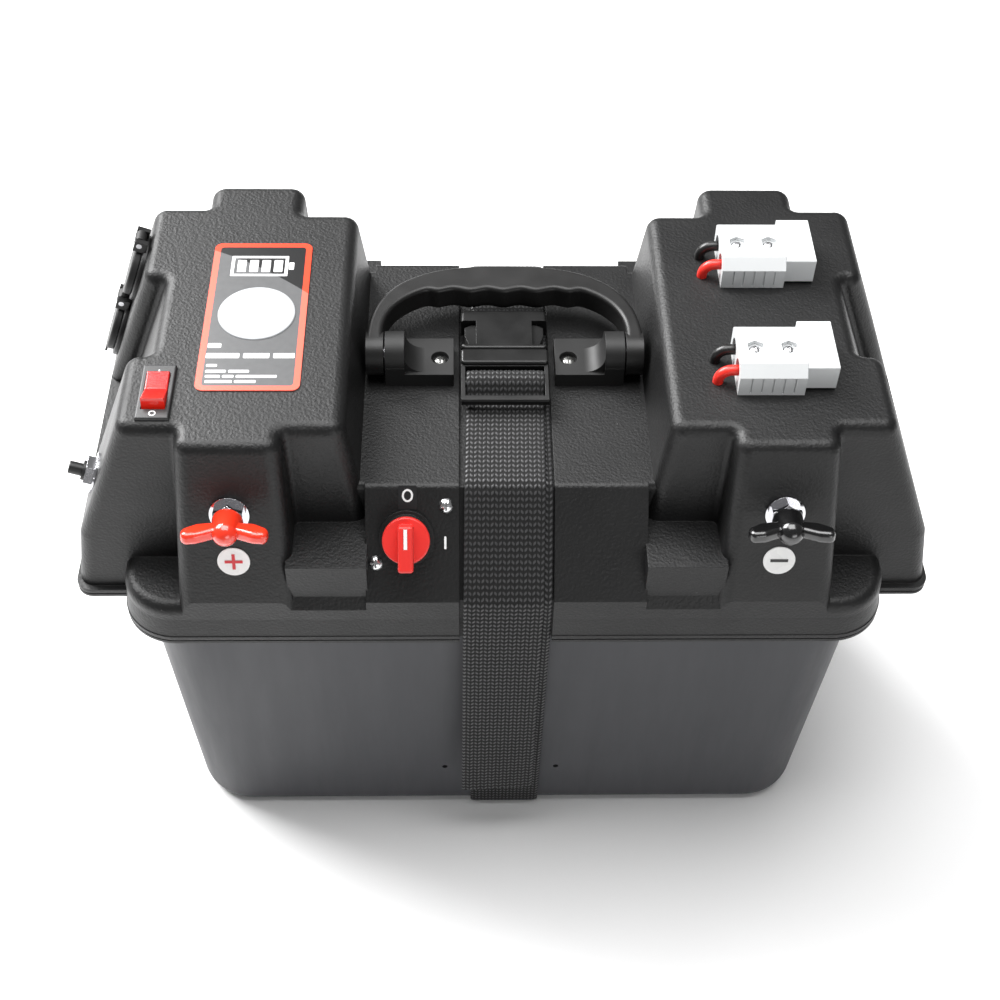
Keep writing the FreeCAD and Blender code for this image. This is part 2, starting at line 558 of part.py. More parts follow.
# ---------------------------------------------------------------- handle and brackets
def make_handle():
    mid = HANDLE_AXIS_Y
    outer = [(-HANDLE_LEG_OUT, mid), (-69.9, 10), (-66.4, 25), (-58.5, 38.5), (-44, 49.5), (-23, 55.6), (0, 57.0)]
    outer += [(-x, y) for x, y in outer[-2::-1]]
    curve = Part.BSplineCurve()
    curve.interpolate([V(x, y, HANDLE_BOTTOM) for x, y in outer])
    inner = [(-HANDLE_LEG_IN, mid), (-61.5, 12.5), (-58.0, 22.5), (-51.0, 31), (-43.5, 36.2)]
    waves = [(-43.5 + 87.0 * k / 20, 37.6 + 0.9 * math.cos(math.pi * k / 2)) for k in range(1, 20)]
    inner += waves + [(-x, y) for x, y in inner[::-1]]
    grip = Part.BSplineCurve()
    grip.interpolate([V(x, y, HANDLE_BOTTOM) for x, y in inner])
    ends = [Part.LineSegment(V(s * HANDLE_LEG_OUT, mid, HANDLE_BOTTOM), V(s * HANDLE_LEG_IN, mid, HANDLE_BOTTOM))
            for s in (-1, 1)]
    wire = Part.Wire(Part.__sortEdges__([curve.toShape(), grip.toShape()] + [e.toShape() for e in ends]))
    body = Part.Face(wire).extrude(V(0, 0, HANDLE_TOP - HANDLE_BOTTOM))
    rims = [e for e in edges_at_z(body, HANDLE_TOP) + edges_at_z(body, HANDLE_BOTTOM) if e.BoundBox.XLength > 30]
    body = body.makeFillet(2.2, rims)
    for side in (-1, 1):
        x0 = min(side * HANDLE_LEG_IN, side * HANDLE_LEG_OUT)
        width = HANDLE_LEG_OUT - HANDLE_LEG_IN
        eye = cyl(HANDLE_TOP - HANDLE_AXIS_Z, width, (x0, mid, HANDLE_AXIS_Z), (1, 0, 0))
        body = body.fuse(eye)
        blind = x0 + (EYE_FLOOR if side < 0 else -EYE_FLOOR)
        body = body.cut(cyl(PIN_R + PIN_CLEAR, width, (blind, mid, HANDLE_AXIS_Z), (1, 0, 0)))
    save(body.removeSplitter(), "handle")

    pins = []
    for side, name in ((-1, "left"), (1, "right")):
        hub_in, hub_out, plate_in = 51.0, 60.9, 26.0
        hub = cyl(HUB_R, hub_out - hub_in, (hub_in, mid, HANDLE_AXIS_Z), (1, 0, 0))
        hub = hub.fuse(box(hub_in, -11.0, DECK_Z, hub_out, HUB_R + mid, HANDLE_AXIS_Z))
        plate = box(plate_in, -11.0, DECK_Z, hub_in + 1, 16.0, 268.0)
        fillet_r = 10.0
        web = box(hub_in - fillet_r, -9.0, 268.0, hub_in, HUB_R + mid - 3.0, 268.0 + fillet_r)
        web = web.cut(cyl(fillet_r, 60, (hub_in - fillet_r, -30, 268.0 + fillet_r), (0, 1, 0)))
        bracket = fuse([hub, plate, web])
        bracket = bracket.cut(cyl(4.6, 20, (33.0, 1.5, 265.0)))
        bracket = bracket.cut(cyl(2.0, 20, (33.0, 1.5, 255.0)))
        bracket = bracket.cut(cyl(PIN_R, PIN_SEAT, (hub_out - PIN_SEAT, mid, HANDLE_AXIS_Z), (1, 0, 0)))
        pin_long = PIN_SEAT + HANDLE_LEG_OUT - hub_out - 2.8
        pin = cyl(PIN_R, pin_long, (hub_out - PIN_SEAT, mid, HANDLE_AXIS_Z), (1, 0, 0))
        if side < 0:
            bracket = mirror_x(bracket)
            pin = mirror_x(pin)
        save(bracket, "handle_bracket_" + name)
        pins.append(pin)
    save(Part.makeCompound(pins), "handle_pins")
    screw = pan_screw(3.9, 2.2, 2.0, 9.0)
    save(Part.makeCompound([screw.translated(V(s * 33.0, 1.5, 265.0)) for s in (-1, 1)]), "bracket_screws")


# ---------------------------------------------------------------- frames on the sloping faces
SLOPE_DROP = POD_TOP - KNEE_Z
SLOPE_RUN = POD_OUT_KNEE - POD_OUT_TOP
SLOPE_LONG = math.hypot(SLOPE_DROP, SLOPE_RUN)
SLOPE_TURN = -math.degrees(math.atan2(SLOPE_DROP, SLOPE_RUN))
PANEL_TURN = math.degrees(math.atan2(DECK_Z - PANEL_TOE_Z, SKIRT_Y + DECK_FRONT))
COLUMN_TURN = math.degrees(math.atan2(POD_TOP - PANEL_TOE_Z, SKIRT_Y - COLUMN_FRONT_TOP))


def on_side(shape, y, s):
    """Local x up the left outer slope, local z outward."""
    origin = (-POD_OUT_TOP - SLOPE_RUN * s / SLOPE_LONG, y, POD_TOP - SLOPE_DROP * s / SLOPE_LONG)
    return placed(shape, origin, (0, 1, 0), SLOPE_TURN)


def on_panel(shape, x, s):
    """Local y up the front panel, local z outward."""
    y, z = panel_point(s, 0)
    return placed(shape, (x, y, z), (1, 0, 0), PANEL_TURN)


def on_column(shape, side, up=0.0):
    """Local y up the terminal column's front face, local z outward, centred on the stud."""
    lean = (SKIRT_Y - COLUMN_FRONT_TOP) / (POD_TOP - PANEL_TOE_Z)
    z = TERMINAL_Z + up * math.cos(math.atan(lean))
    y = -COLUMN_FRONT_TOP - (POD_TOP - z) * lean
    return placed(shape, (side * TERMINAL_X, y, z), (1, 0, 0), COLUMN_TURN)


# ---------------------------------------------------------------- terminals
def make_wing_nut(turn):
    """Vinyl-dipped wing nut seated at z = NUT_TOP, closed over the stud's end."""
    z0 = NUT_TOP + 0.3
    hub = Part.makeCone(7.4, 6.2, 9.5, V(0, 0, z0))
    dome = Part.makeSphere(6.2, V(0, 0, z0 + 9.5))
    nut = hub.fuse(dome)
    ear = rounded([(2.5, 3.2), (13.5, 4.8), (20.6, 9.5), (19.6, 16.2), (12.5, 15.2), (2.5, 10.2)],
                  [1.0, 6.0, 4.0, 3.0, 6.0, 1.0], -EAR_HALF)
    lobe = extrude(ear, (0, 0, 2 * EAR_HALF))
    lobe = lobe.makeFillet(EAR_HALF - 0.8, [e for e in lobe.Edges if e.BoundBox.ZLength < 0.01 and e.BoundBox.XMax > 3.6])
    lobe = placed(lobe, (0, 0, z0), (1, 0, 0), 90)
    nut = fuse([nut, lobe, mirror_x(lobe)])
    nut = nut.cut(cyl(STUD_R + PIN_CLEAR, 11.0, (0, 0, z0 - 1)))
    return placed(nut, (0, 0, 0), (0, 0, 1), turn)


def make_terminals():
    nut_hex = hexagon(14.0, 5.6).translated(V(0, 0, 1.6))
    nut = fuse([cyl(9.5, 1.6), nut_hex.common(Part.makeSphere(12.0, V(0, 0, -2.4)))])
    nut = nut.cut(cyl(STUD_R, 40, (0, 0, -20)))
    inner = hexagon(13.0, 5.0).translated(V(0, 0, -LID_WALL - 5.6)).cut(cyl(STUD_R, 40, (0, 0, -20)))
    stud = cyl(STUD_R, 31.0, (0, 0, -14.0))
    turns = {"positive": -20.0, "negative": 0.0}
    colours = {"positive": "red", "negative": "black"}
    studs = []
    flange_nuts = []
    inners = []
    for side, name in ((-1, "positive"), (1, "negative")):
        studs.append(on_column(stud, side))
        flange_nuts.append(on_column(nut, side))
        save(on_column(make_wing_nut(turns[name]), side), "wing_nut_" + colours[name])
        save(on_column(cyl(7.8, 0.5), side, -27.0), "polarity_disc_" + name)
        inners.append(on_column(inner, side))
    save(Part.makeCompound(studs), "terminal_studs")
    save(Part.makeCompound(flange_nuts), "flange_nuts")
    save(Part.makeCompound(inners), "terminal_inner_nuts")
    bar = box(-4.3, -0.75, 0.5, 4.3, 0.75, 0.75)
    save(on_column(bar.fuse(box(-0.75, -4.3, 0.5, 0.75, 4.3, 0.75)).removeSplitter(), -1, -27.0), "plus_mark")
    save(on_column(bar, 1, -27.0), "minus_mark")
    for side, name in ((-1, "positive"), (1, "negative")):
        x = side * TERMINAL_X
        lug_z = POST_Z1 + 0.3
        path = [(x, POST_Y, lug_z + 2.6), (x, POST_Y, 263.0), (x, POST_Y - 24.0, 259.8)]
        lead = tube(path, 4.0, 13.0)
        lug = cyl(8.0, 2.8, (x, POST_Y, lug_z))
        save(lead.fuse(lug).removeSplitter(), "battery_lead_" + name)


# ---------------------------------------------------------------- connectors
def make_connector(y0):
    x0, x1 = CONNECTOR_X, CONNECTOR_X + CONNECTOR_L
    z0 = POD_TOP
    neck = x1 - HEAD_L
    side = [(0, 0), (CONNECTOR_W - HEAD_SHIFT, 0), (CONNECTOR_W - HEAD_SHIFT, 13.6),
            (CONNECTOR_W - HEAD_SHIFT - 2.4, CONNECTOR_H), (5.2, CONNECTOR_H), (0, 11.0)]
    body = yz_face([(y0 + y, z0 + z) for y, z in side], x0).extrude(V(neck - x0, 0, 0))
    head = box(neck - 1, y0 + HEAD_SHIFT, z0 + 0.8, x1, y0 + CONNECTOR_W, z0 + 14.6)
    head = head.makeFillet(0.8, [e for e in head.Edges if e.BoundBox.XLength > 5])
    shell = body.fuse(head)
    for k in range(5):
        x = x0 + 5.5 + 5.2 * k
        shell = shell.cut(box(x, y0 - 1, z0 + 1.5, x + 0.7, y0 + 0.6, z0 + 10.6))
    for y in LEAD_Y:
        shell = shell.cut(cyl(5.6, 20.0, (x0 - 1, y0 + y, z0 + 7.6), (1, 0, 0)))
        shell = shell.cut(box(neck + 1.5, y0 + y - 4.6, z0 + 3.4, x1 + 1, y0 + y + 7.4, z0 + 11.8))
    for k in (0, 1):
        seat = V(x0 + 8.6 + 16.2 * k, y0 + 16.6, z0 + CONNECTOR_H - 2.2)
        shell = shell.cut(hexagon(7.6, 3.0).fuse(cyl(1.0, 1.0, (0, 0, -0.5))).translated(seat))
    return shell.removeSplitter()


def make_connectors():
    contacts = []
    screws = []
    reds = []
    blacks = []
    for y0, name in zip(CONNECTOR_Y, ("rear", "front")):
        save(make_connector(y0), "connector_" + name)
        for y, wires in zip(LEAD_Y, (reds, blacks)):
            z = POD_TOP + 7.6
            path = [(CONNECTOR_X + 12.0, y0 + y, z), (LEAD_X, y0 + y, z), (LEAD_X, y0 + y, POD_TOP - 14.0)]
            wires.append(tube(path, LEAD_R, 6.4))
            blade_x = CONNECTOR_X + CONNECTOR_L - HEAD_L + 1.5
            floor = POD_TOP + 3.4
            contacts.append(box(blade_x, y0 + y - 2.6, floor, blade_x + 11.5, y0 + y + 5.4, floor + 1.4))
        screw = pan_screw(3.0, 1.5, 1.0, 0.4)
        for k in (0, 1):
            centre = (CONNECTOR_X + 8.6 + 16.2 * k, y0 + 16.6, POD_TOP + CONNECTOR_H - 2.2)
            screws.append(screw.translated(V(*centre)))
    save(Part.makeCompound(contacts), "connector_contacts")
    save(Part.makeCompound(screws), "connector_screws")
    save(Part.makeCompound(reds), "connector_leads_red")
    save(Part.makeCompound(blacks), "connector_leads_black")


# ---------------------------------------------------------------- meter and rocker breaker
def make_meter():
    x0, y0, x1, y1 = LABEL_BOX
    plate = extrude(rounded([(x0, y0), (x1, y0), (x1, y1), (x0, y1)], [4.0] * 4, POD_TOP), (0, 0, LABEL_T))
    plate = plate.cut(cyl(WINDOW_R, 10, (WINDOW_X, WINDOW_Y, POD_TOP - 5)))
    save(plate, "label_plate")
    body = cyl(WINDOW_R - 0.8, 18.0, (WINDOW_X, WINDOW_Y, POD_TOP - 18.0))
    save(body.fuse(box(WINDOW_X - 9, WINDOW_Y - 6, POD_TOP - 23, WINDOW_X + 9, WINDOW_Y + 6, POD_TOP - 18)),
         "voltmeter_body")
    lens = cyl(WINDOW_R - 0.05, LABEL_T + 0.3, (WINDOW_X, WINDOW_Y, POD_TOP))
    save(lens.makeFillet(0.3, edges_at_z(lens, POD_TOP + LABEL_T + 0.3)), "voltmeter_window")


def make_rocker():
    x0, y0, x1, y1 = ROCKER_BOX
    xm, ym = (x0 + x1) / 2, (y0 + y1) / 2
    flange = box(x0, y0, POD_TOP, x1, y1, POD_TOP + 1.8)
    flange = flange.makeFillet(0.8, edges_at_z(flange, POD_TOP + 1.8))
    body = box(x0 + 1.4, y0 + 2.0, POD_TOP - 24.0, x1 - 1.4, y1 - 2.0, POD_TOP)
    bezel = flange.fuse(body)
    bezel = bezel.cut(box(xm - 5.8, ym - 12.0, POD_TOP - 10.0, xm + 5.8, ym + 12.0, POD_TOP + 5))
    tabs = [box(xm - 3, ym + dy - 0.4, POD_TOP - 31.0, xm + 3, ym + dy + 0.4, POD_TOP - 24.0) for dy in (-11, 0, 11)]
    pivot_z = POD_TOP - 2.2
    pin = cyl(1.2, 12.6, (xm - 6.3, ym, pivot_z), (1, 0, 0))
    save(fuse([bezel, pin] + tabs), "rocker_breaker_body")
    side = [(-11.0, -3.0), (-11.0, 7.2), (0, 4.6), (11.0, 7.2), (11.0, -3.0), (0, -6.0)]
    cap = yz_face(side, -5.5).extrude(V(11.0, 0, 0))
    tops = [e for e in cap.Edges if e.BoundBox.ZMin > 4 and e.BoundBox.XLength < 1]
    cap = cap.makeFillet(0.6, tops)
    cap = cap.cut(cyl(1.2 + PIN_CLEAR, 20, (-10, 0, 0), (1, 0, 0)))
    save(placed(cap, (xm, ym, pivot_z), (1, 0, 0), -ROCKER_TILT), "rocker_button")


# ---------------------------------------------------------------- left side outlets
def make_side_outlets():
    flange = cyl(SOCKET_FLANGE_R, 2.5)
    flange = flange.makeFillet(0.9, edges_at_z(flange, 2.5))
    floor = 2.5 - SOCKET_DEPTH
    barrel = cyl(13.6, SOCKET_DEPTH + 2.0, (0, 0, floor - 2.0))
    ears = [box(15.6, min(s * 3.6, s * 6.4), 1.0, CAP_PIN_X + 2.6, max(s * 3.6, s * 6.4), CAP_PIN_Z + 2.6)
            for s in (-1, 1)]
    socket = fuse([flange, barrel] + ears)
    socket = socket.cut(cyl(SOCKET_BORE_R, SOCKET_DEPTH, (0, 0, floor))).cut(cyl(3.0, 4.0, (0, 0, floor - 3.0)))
    socket = socket.cut(cyl(CAP_PIN_R, 30, (CAP_PIN_X, -15, CAP_PIN_Z), (0, 1, 0)))
    nut = hexagon(33.0, 5.0).translated(V(0, 0, -LID_WALL - 5.0)).cut(cyl(13.6, 30, (0, 0, -20)))
    rear = floor - 2.0
    contact = fuse([cyl(3.0, 1.6, (0, 0, rear)), box(-2, -3.2, rear - 7.0, 2, 3.2, rear)])
    pin = cyl(CAP_PIN_R, 12.8, (CAP_PIN_X, -6.4, CAP_PIN_Z), (0, 1, 0))

    disc = cyl(15.2, 3.6, (0, 0, 2.9))
    disc = disc.makeFillet(1.1, edges_at_z(disc, 6.5))
    tab = box(-18.8, -5.0, 5.0, -13.0, 5.0, 6.3)
    arm = box(12.0, -3.3, 3.2, CAP_PIN_X, 3.3, 6.5)
    eye = cyl(2.9, 6.6, (CAP_PIN_X, -3.3, CAP_PIN_Z), (0, 1, 0))
    cap = fuse([disc, tab, arm, eye])
    cap = cap.cut(cyl(CAP_PIN_R + 0.06, 30, (CAP_PIN_X, -15, CAP_PIN_Z), (0, 1, 0)))
    nuts = []
    contacts = []
    pins = []
    for s, name in zip(SOCKET_S, ("upper", "lower")):
        save(on_side(socket, SOCKET_Y, s), "socket_" + name)
        save(on_side(cap, SOCKET_Y, s), "socket_cap_" + name)
        nuts.append(on_side(nut, SOCKET_Y, s))
        contacts.append(on_side(contact, SOCKET_Y, s))
        pins.append(on_side(pin, SOCKET_Y, s))
    save(Part.makeCompound(nuts), "socket_nuts")
    save(Part.makeCompound(contacts), "socket_contacts")
    save(Part.makeCompound(pins), "socket_cap_pins")

    body = fuse([cyl(5.0, 10.2, (0, 0, -LID_WALL)), cyl(9.0, 18.0, (0, 0, -LID_WALL - 18.0))])
    body = body.cut(cyl(3.4, 12.0, (0, 0, -2.0)))
    nuts = fuse([cyl(10.4, 1.2), hexagon(14.0, 4.2).translated(V(0, 0, 1.2))]).cut(cyl(5.0, 20, (0, 0, -5)))
    button = cyl(3.25, 12.0, (0, 0, 1.4))
    button = button.makeFillet(0.6, edges_at_z(button, 13.4))
    save(on_side(body, BREAKER_Y, BREAKER_S), "breaker_body")
    save(on_side(nuts, BREAKER_Y, BREAKER_S), "breaker_nuts")
    save(on_side(button, BREAKER_Y, BREAKER_S), "breaker_button")


# ---------------------------------------------------------------- isolator switch
def make_switch():
    base = fuse([cyl(13.4, 3.0), cyl(11.6, 7.2)]).cut(cyl(4.0, 20, (0, 0, -5)))
    depth = 22.0
    body = fuse([box(-16, -14, -LID_WALL - depth, 16, 14, -LID_WALL), cyl(4.0, 12.0, (0, 0, -LID_WALL)),
                 cyl(2.6, 18.0, (0, 0, -LID_WALL))])
    terminals = [cyl(3.5, 4.0, (dx, 0, -LID_WALL - depth - 4.0)) for dx in (-9, 9)]
    knob = cyl(11.5, 3.6, (0, 0, 8.8))
    knob = knob.makeFillet(0.8, edges_at_z(knob, 12.4))
    grip = box(-3.7, -14.4, 11.6, 3.7, 8.2, 19.5)
    grip = grip.makeFillet(1.4, [e for e in grip.Edges if e.BoundBox.ZMin > 13 or e.BoundBox.ZLength > 5])
    knob = knob.fuse(grip).cut(cyl(2.6 + PIN_CLEAR, 8.0, (0, 0, 7.0)))
    pointer = box(-0.9, -2.9, 19.2, 0.9, 6.9, 19.8)
    knob = knob.cut(pointer)
    save(on_panel(base, SWITCH_X, SWITCH_S), "switch_base")
    save(on_panel(fuse([body] + terminals), SWITCH_X, SWITCH_S), "switch_body")
    save(on_panel(knob.removeSplitter(), SWITCH_X, SWITCH_S), "switch_knob")
    save(on_panel(box(-0.85, -2.85, 19.2, 0.85, 6.85, 19.55), SWITCH_X, SWITCH_S), "knob_pointer")
    screw = pan_screw(3.7, 2.2, 1.5, LID_WALL)
    save(Part.makeCompound([on_panel(screw, x, s) for x, s in SWITCH_SCREWS]), "switch_screws")


# ---------------------------------------------------------------- build everything
def drill_lid(lid):
    """Openings in the lid for everything mounted through it."""
    tools = [cyl(WINDOW_R - 0.8, 30, (WINDOW_X, WINDOW_Y, POD_TOP - 10))]
    x0, y0, x1, y1 = ROCKER_BOX
    tools.append(box(x0 + 1.4, y0 + 2.0, POD_TOP - 10, x1 - 1.4, y1 - 2.0, POD_TOP + 10))
    for s in SOCKET_S:
        tools.append(on_side(cyl(13.6, 30, (0, 0, -15)), SOCKET_Y, s))
        tools.append(on_side(cyl(SOCKET_FLANGE_R + 0.3, 9.0), SOCKET_Y, s))
    tools.append(on_side(cyl(5.0, 20, (0, 0, -10)), BREAKER_Y, BREAKER_S))
    for side in (-1, 1):
        tools.append(on_column(cyl(STUD_R, 30, (0, 0, -15)), side))
        tools.append(cyl(2.0, 20, (side * 33.0, 1.5, 250.0)))
    tools.append(on_panel(cyl(4.0, 30, (0, 0, -15)), SWITCH_X, SWITCH_S))
    for x, s in SWITCH_SCREWS:
        tools.append(on_panel(cyl(1.5, 20, (0, 0, -10)), x, s))
    for y0 in CONNECTOR_Y:
        for y in LEAD_Y:
            tools.append(cyl(LEAD_R, 20, (LEAD_X, y0 + y, POD_TOP - 10)))
    return lid.cut(Part.makeCompound(tools)).removeSplitter()


def save_lid(lid):
    """The moulding as flush solids: a middle, two ends, and the left end's wing in three."""
    far = 400.0
    save(lid.common(box(-LID_SPLIT, -far, 0, LID_SPLIT, far, far)), "lid_middle")
    save(lid.common(box(-WING_SPLIT, -far, 0, -LID_SPLIT, far, far)), "lid_left")
    for name, y0, y1 in (("front", -far, WING_CUT_FRONT), ("middle", WING_CUT_FRONT, WING_CUT_BACK),
                         ("back", WING_CUT_BACK, far)):
        save(lid.common(box(-far, y0, 0, -WING_SPLIT, y1, far)), "lid_wing_" + name)
    save(lid.common(box(LID_SPLIT, -far, 0, far, far, far)), "lid_right")


save(make_tub(), "tub")
make_battery()
make_strap()
make_buckle()
make_handle()
make_terminals()
make_connectors()
make_meter()
make_rocker()
make_side_outlets()
make_switch()
save_lid(drill_lid(make_lid()))
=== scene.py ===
import math

import bmesh
import bpy
from mathutils import Matrix, Vector


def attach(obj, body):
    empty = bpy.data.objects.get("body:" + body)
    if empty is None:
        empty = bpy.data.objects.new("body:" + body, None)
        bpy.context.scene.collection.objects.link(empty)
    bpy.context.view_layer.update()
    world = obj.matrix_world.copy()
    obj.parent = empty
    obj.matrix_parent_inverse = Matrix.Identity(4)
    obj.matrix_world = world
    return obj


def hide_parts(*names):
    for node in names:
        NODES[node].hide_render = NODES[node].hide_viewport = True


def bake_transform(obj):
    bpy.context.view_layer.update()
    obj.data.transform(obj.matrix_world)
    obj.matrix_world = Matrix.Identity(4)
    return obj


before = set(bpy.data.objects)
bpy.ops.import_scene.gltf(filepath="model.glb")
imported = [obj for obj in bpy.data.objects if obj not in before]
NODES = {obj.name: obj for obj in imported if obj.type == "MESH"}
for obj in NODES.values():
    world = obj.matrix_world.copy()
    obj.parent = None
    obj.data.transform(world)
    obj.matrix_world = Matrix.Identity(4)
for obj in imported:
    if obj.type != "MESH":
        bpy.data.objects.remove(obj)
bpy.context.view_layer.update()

MM = 0.001

# ---------------------------------------------------------------- camera
CAMERA_AT = (-22.2, -595.4, 839.1)      # mm
CAMERA_DOWN = 48.8                      # degrees below the horizon
CAMERA_YAW = 2.1                        # degrees, to the right of +Y
CAMERA_ROLL = 1.5                       # degrees
LENS = 57.6                             # mm
SENSOR = 36.0                           # mm across


def make_camera():
    down = math.radians(CAMERA_DOWN)
    yaw = math.radians(CAMERA_YAW)
    roll = math.radians(CAMERA_ROLL)
    level = Vector((math.sin(yaw), math.cos(yaw), 0))
    forward = level * math.cos(down) - Vector((0, 0, math.sin(down)))
    right = Vector((math.cos(yaw), -math.sin(yaw), 0))
    up = right.cross(forward)
    across = right * math.cos(roll) + up * math.sin(roll)
    above = -right * math.sin(roll) + up * math.cos(roll)
    data = bpy.data.cameras.new("camera")
    data.lens = LENS
    data.sensor_width = SENSOR
    data.clip_end = 50.0
    camera = bpy.data.objects.new("camera", data)
    bpy.context.scene.collection.objects.link(camera)
    turn = Matrix((across, above, -forward)).transposed().to_4x4()
    camera.matrix_world = Matrix.Translation(Vector(CAMERA_AT) * MM) @ turn
    bpy.context.scene.camera = camera
    bpy.context.scene.view_settings.view_transform = "Standard"


make_camera()


# ---------------------------------------------------------------- shader helpers
class Shader:
    """A Principled material with short calls for its nodes."""

    def __init__(self, name, **values):
        self.material = bpy.data.materials.new(name)
        self.material.use_nodes = True
        self.tree = self.material.node_tree
        self.bsdf = self.tree.nodes["Principled BSDF"]
        for key, value in values.items():
            self.bsdf.inputs[key.replace("_", " ")].default_value = value
        self.coord = self.tree.nodes.new("ShaderNodeTexCoord").outputs["Object"]

    def put(self, socket, value):
        if isinstance(value, bpy.types.NodeSocket):
            self.tree.links.new(value, socket)
        elif isinstance(value, (tuple, list)) and len(value) == 3 and len(socket.default_value) == 4:
            socket.default_value = (*value, 1.0)
        else:
            socket.default_value = value

    def math(self, operation, a, b=0.0, c=0.0):
        node = self.tree.nodes.new("ShaderNodeMath")
        node.operation = operation
        for socket, value in zip(node.inputs, (a, b, c)):
            self.put(socket, value)
        return node.outputs[0]

    def noise(self, scale, detail=2.0, roughness=0.5, vector=None):
        node = self.tree.nodes.new("ShaderNodeTexNoise")
        self.put(node.inputs["Vector"], vector or self.coord)
        node.inputs["Scale"].default_value = scale
        node.inputs["Detail"].default_value = detail
        node.inputs["Roughness"].default_value = roughness
        return node.outputs[0]

    def cells(self, scale, feature="F1"):
        node = self.tree.nodes.new("ShaderNodeTexVoronoi")
        node.feature = feature
        self.put(node.inputs["Vector"], self.coord)
        node.inputs["Scale"].default_value = scale
        return node.outputs["Distance"]

    def stretched(self, x, y, z):
        node = self.tree.nodes.new("ShaderNodeVectorMath")
        node.operation = "MULTIPLY"
        self.put(node.inputs[0], self.coord)
        node.inputs[1].default_value = (x, y, z)
        return node.outputs[0]

    def axes(self):
        node = self.tree.nodes.new("ShaderNodeSeparateXYZ")
        self.put(node.inputs[0], self.coord)
        return node.outputs

    def attribute(self, name):
        node = self.tree.nodes.new("ShaderNodeAttribute")
        node.attribute_name = name
        return node.outputs["Fac"]

    def ramp(self, fac, low, high, start, end):
        """fac from low to high becomes start to end, held outside."""
        node = self.tree.nodes.new("ShaderNodeMapRange")
        for socket, value in zip(node.inputs, (fac, low, high, start, end)):
            self.put(socket, value)
        return node.outputs[0]

    def mix(self, fac, a, b):
        node = self.tree.nodes.new("ShaderNodeMix")
        node.data_type = "RGBA"
        self.put(node.inputs[0], fac)
        self.put(node.inputs[6], a)
        self.put(node.inputs[7], b)
        return node.outputs[2]

    def true_normal(self):
        return self.tree.nodes.new("ShaderNodeNewGeometry").outputs["Normal"]

    def blend_vectors(self, fac, a, b):
        node = self.tree.nodes.new("ShaderNodeMix")
        node.data_type = "VECTOR"
        self.put(node.inputs[0], fac)
        self.put(node.inputs[4], a)
        self.put(node.inputs[5], b)
        return node.outputs[1]

    def bevel(self, radius):
        node = self.tree.nodes.new("ShaderNodeBevel")
        node.samples = 4
        node.inputs["Radius"].default_value = radius
        return node.outputs[0]

    def bump(self, height, distance, normal=None):
        node = self.tree.nodes.new("ShaderNodeBump")
        node.inputs["Strength"].default_value = 1.0
        node.inputs["Distance"].default_value = distance
        self.put(node.inputs["Height"], height)
        if normal is not None:
            self.put(node.inputs["Normal"], normal)
        return node.outputs[0]

    def colour(self, value):
        self.put(self.bsdf.inputs["Base Color"], value)

    def roughness(self, value):
        self.put(self.bsdf.inputs["Roughness"], value)

    def normal(self, value):
        self.put(self.bsdf.inputs["Normal"], value)


def tint(colour, factor):
    return tuple(min(1.0, c * factor) for c in colour)


def plastic(name, colour, roughness, grain_size=0.6, grain_deep=0.02, edge=0.4, spread=0.12, dust=0.0,
            **extra):
    """Moulded plastic: mottled colour, fine grain, softened edges, a little dust. Sizes in mm."""
    s = Shader(name, **extra)
    cloud = s.noise(16, 5, 0.6)
    tone = s.mix(cloud, tint(colour, 1 - spread), tint(colour, 1 + spread))
    if dust:
        speck = s.math("LESS_THAN", s.cells(70), 0.018)
        tone = s.mix(s.math("MULTIPLY", speck, dust), tone, (0.42, 0.42, 0.42))
    s.colour(tone)
    grain = s.noise(1000 / grain_size, 2, 0.55)
    s.roughness(s.math("ADD", s.ramp(s.noise(60, 3), 0.3, 0.7, -0.05, 0.05), roughness))
    s.normal(s.bump(grain, grain_deep * MM, s.bevel(edge * MM)))
    return s.material


def metal(name, colour, roughness, scratch=0.01, brushed=(1, 1, 1), edge=0.15):
    """Plated or machined metal with fine directional scratches."""
    s = Shader(name, Metallic=1.0)
    lines = s.noise(900, 3, 0.6, s.stretched(*brushed))
    s.colour(s.mix(s.noise(40, 4), tint(colour, 0.88), tint(colour, 1.08)))
    s.roughness(s.ramp(lines, 0.3, 0.7, roughness * 0.7, roughness * 1.4))
    s.normal(s.bump(lines, scratch * MM, s.bevel(edge * MM)))
    return s.material


LID_SPLIT = 70.5      # mm from the middle, where the CAD lid's solids meet
WING_SPLIT = -193.0   # mm, where the left wing's solids begin
SEAM_HALF = 1.3       # mm, half the strip along a seam that keeps the plain normal


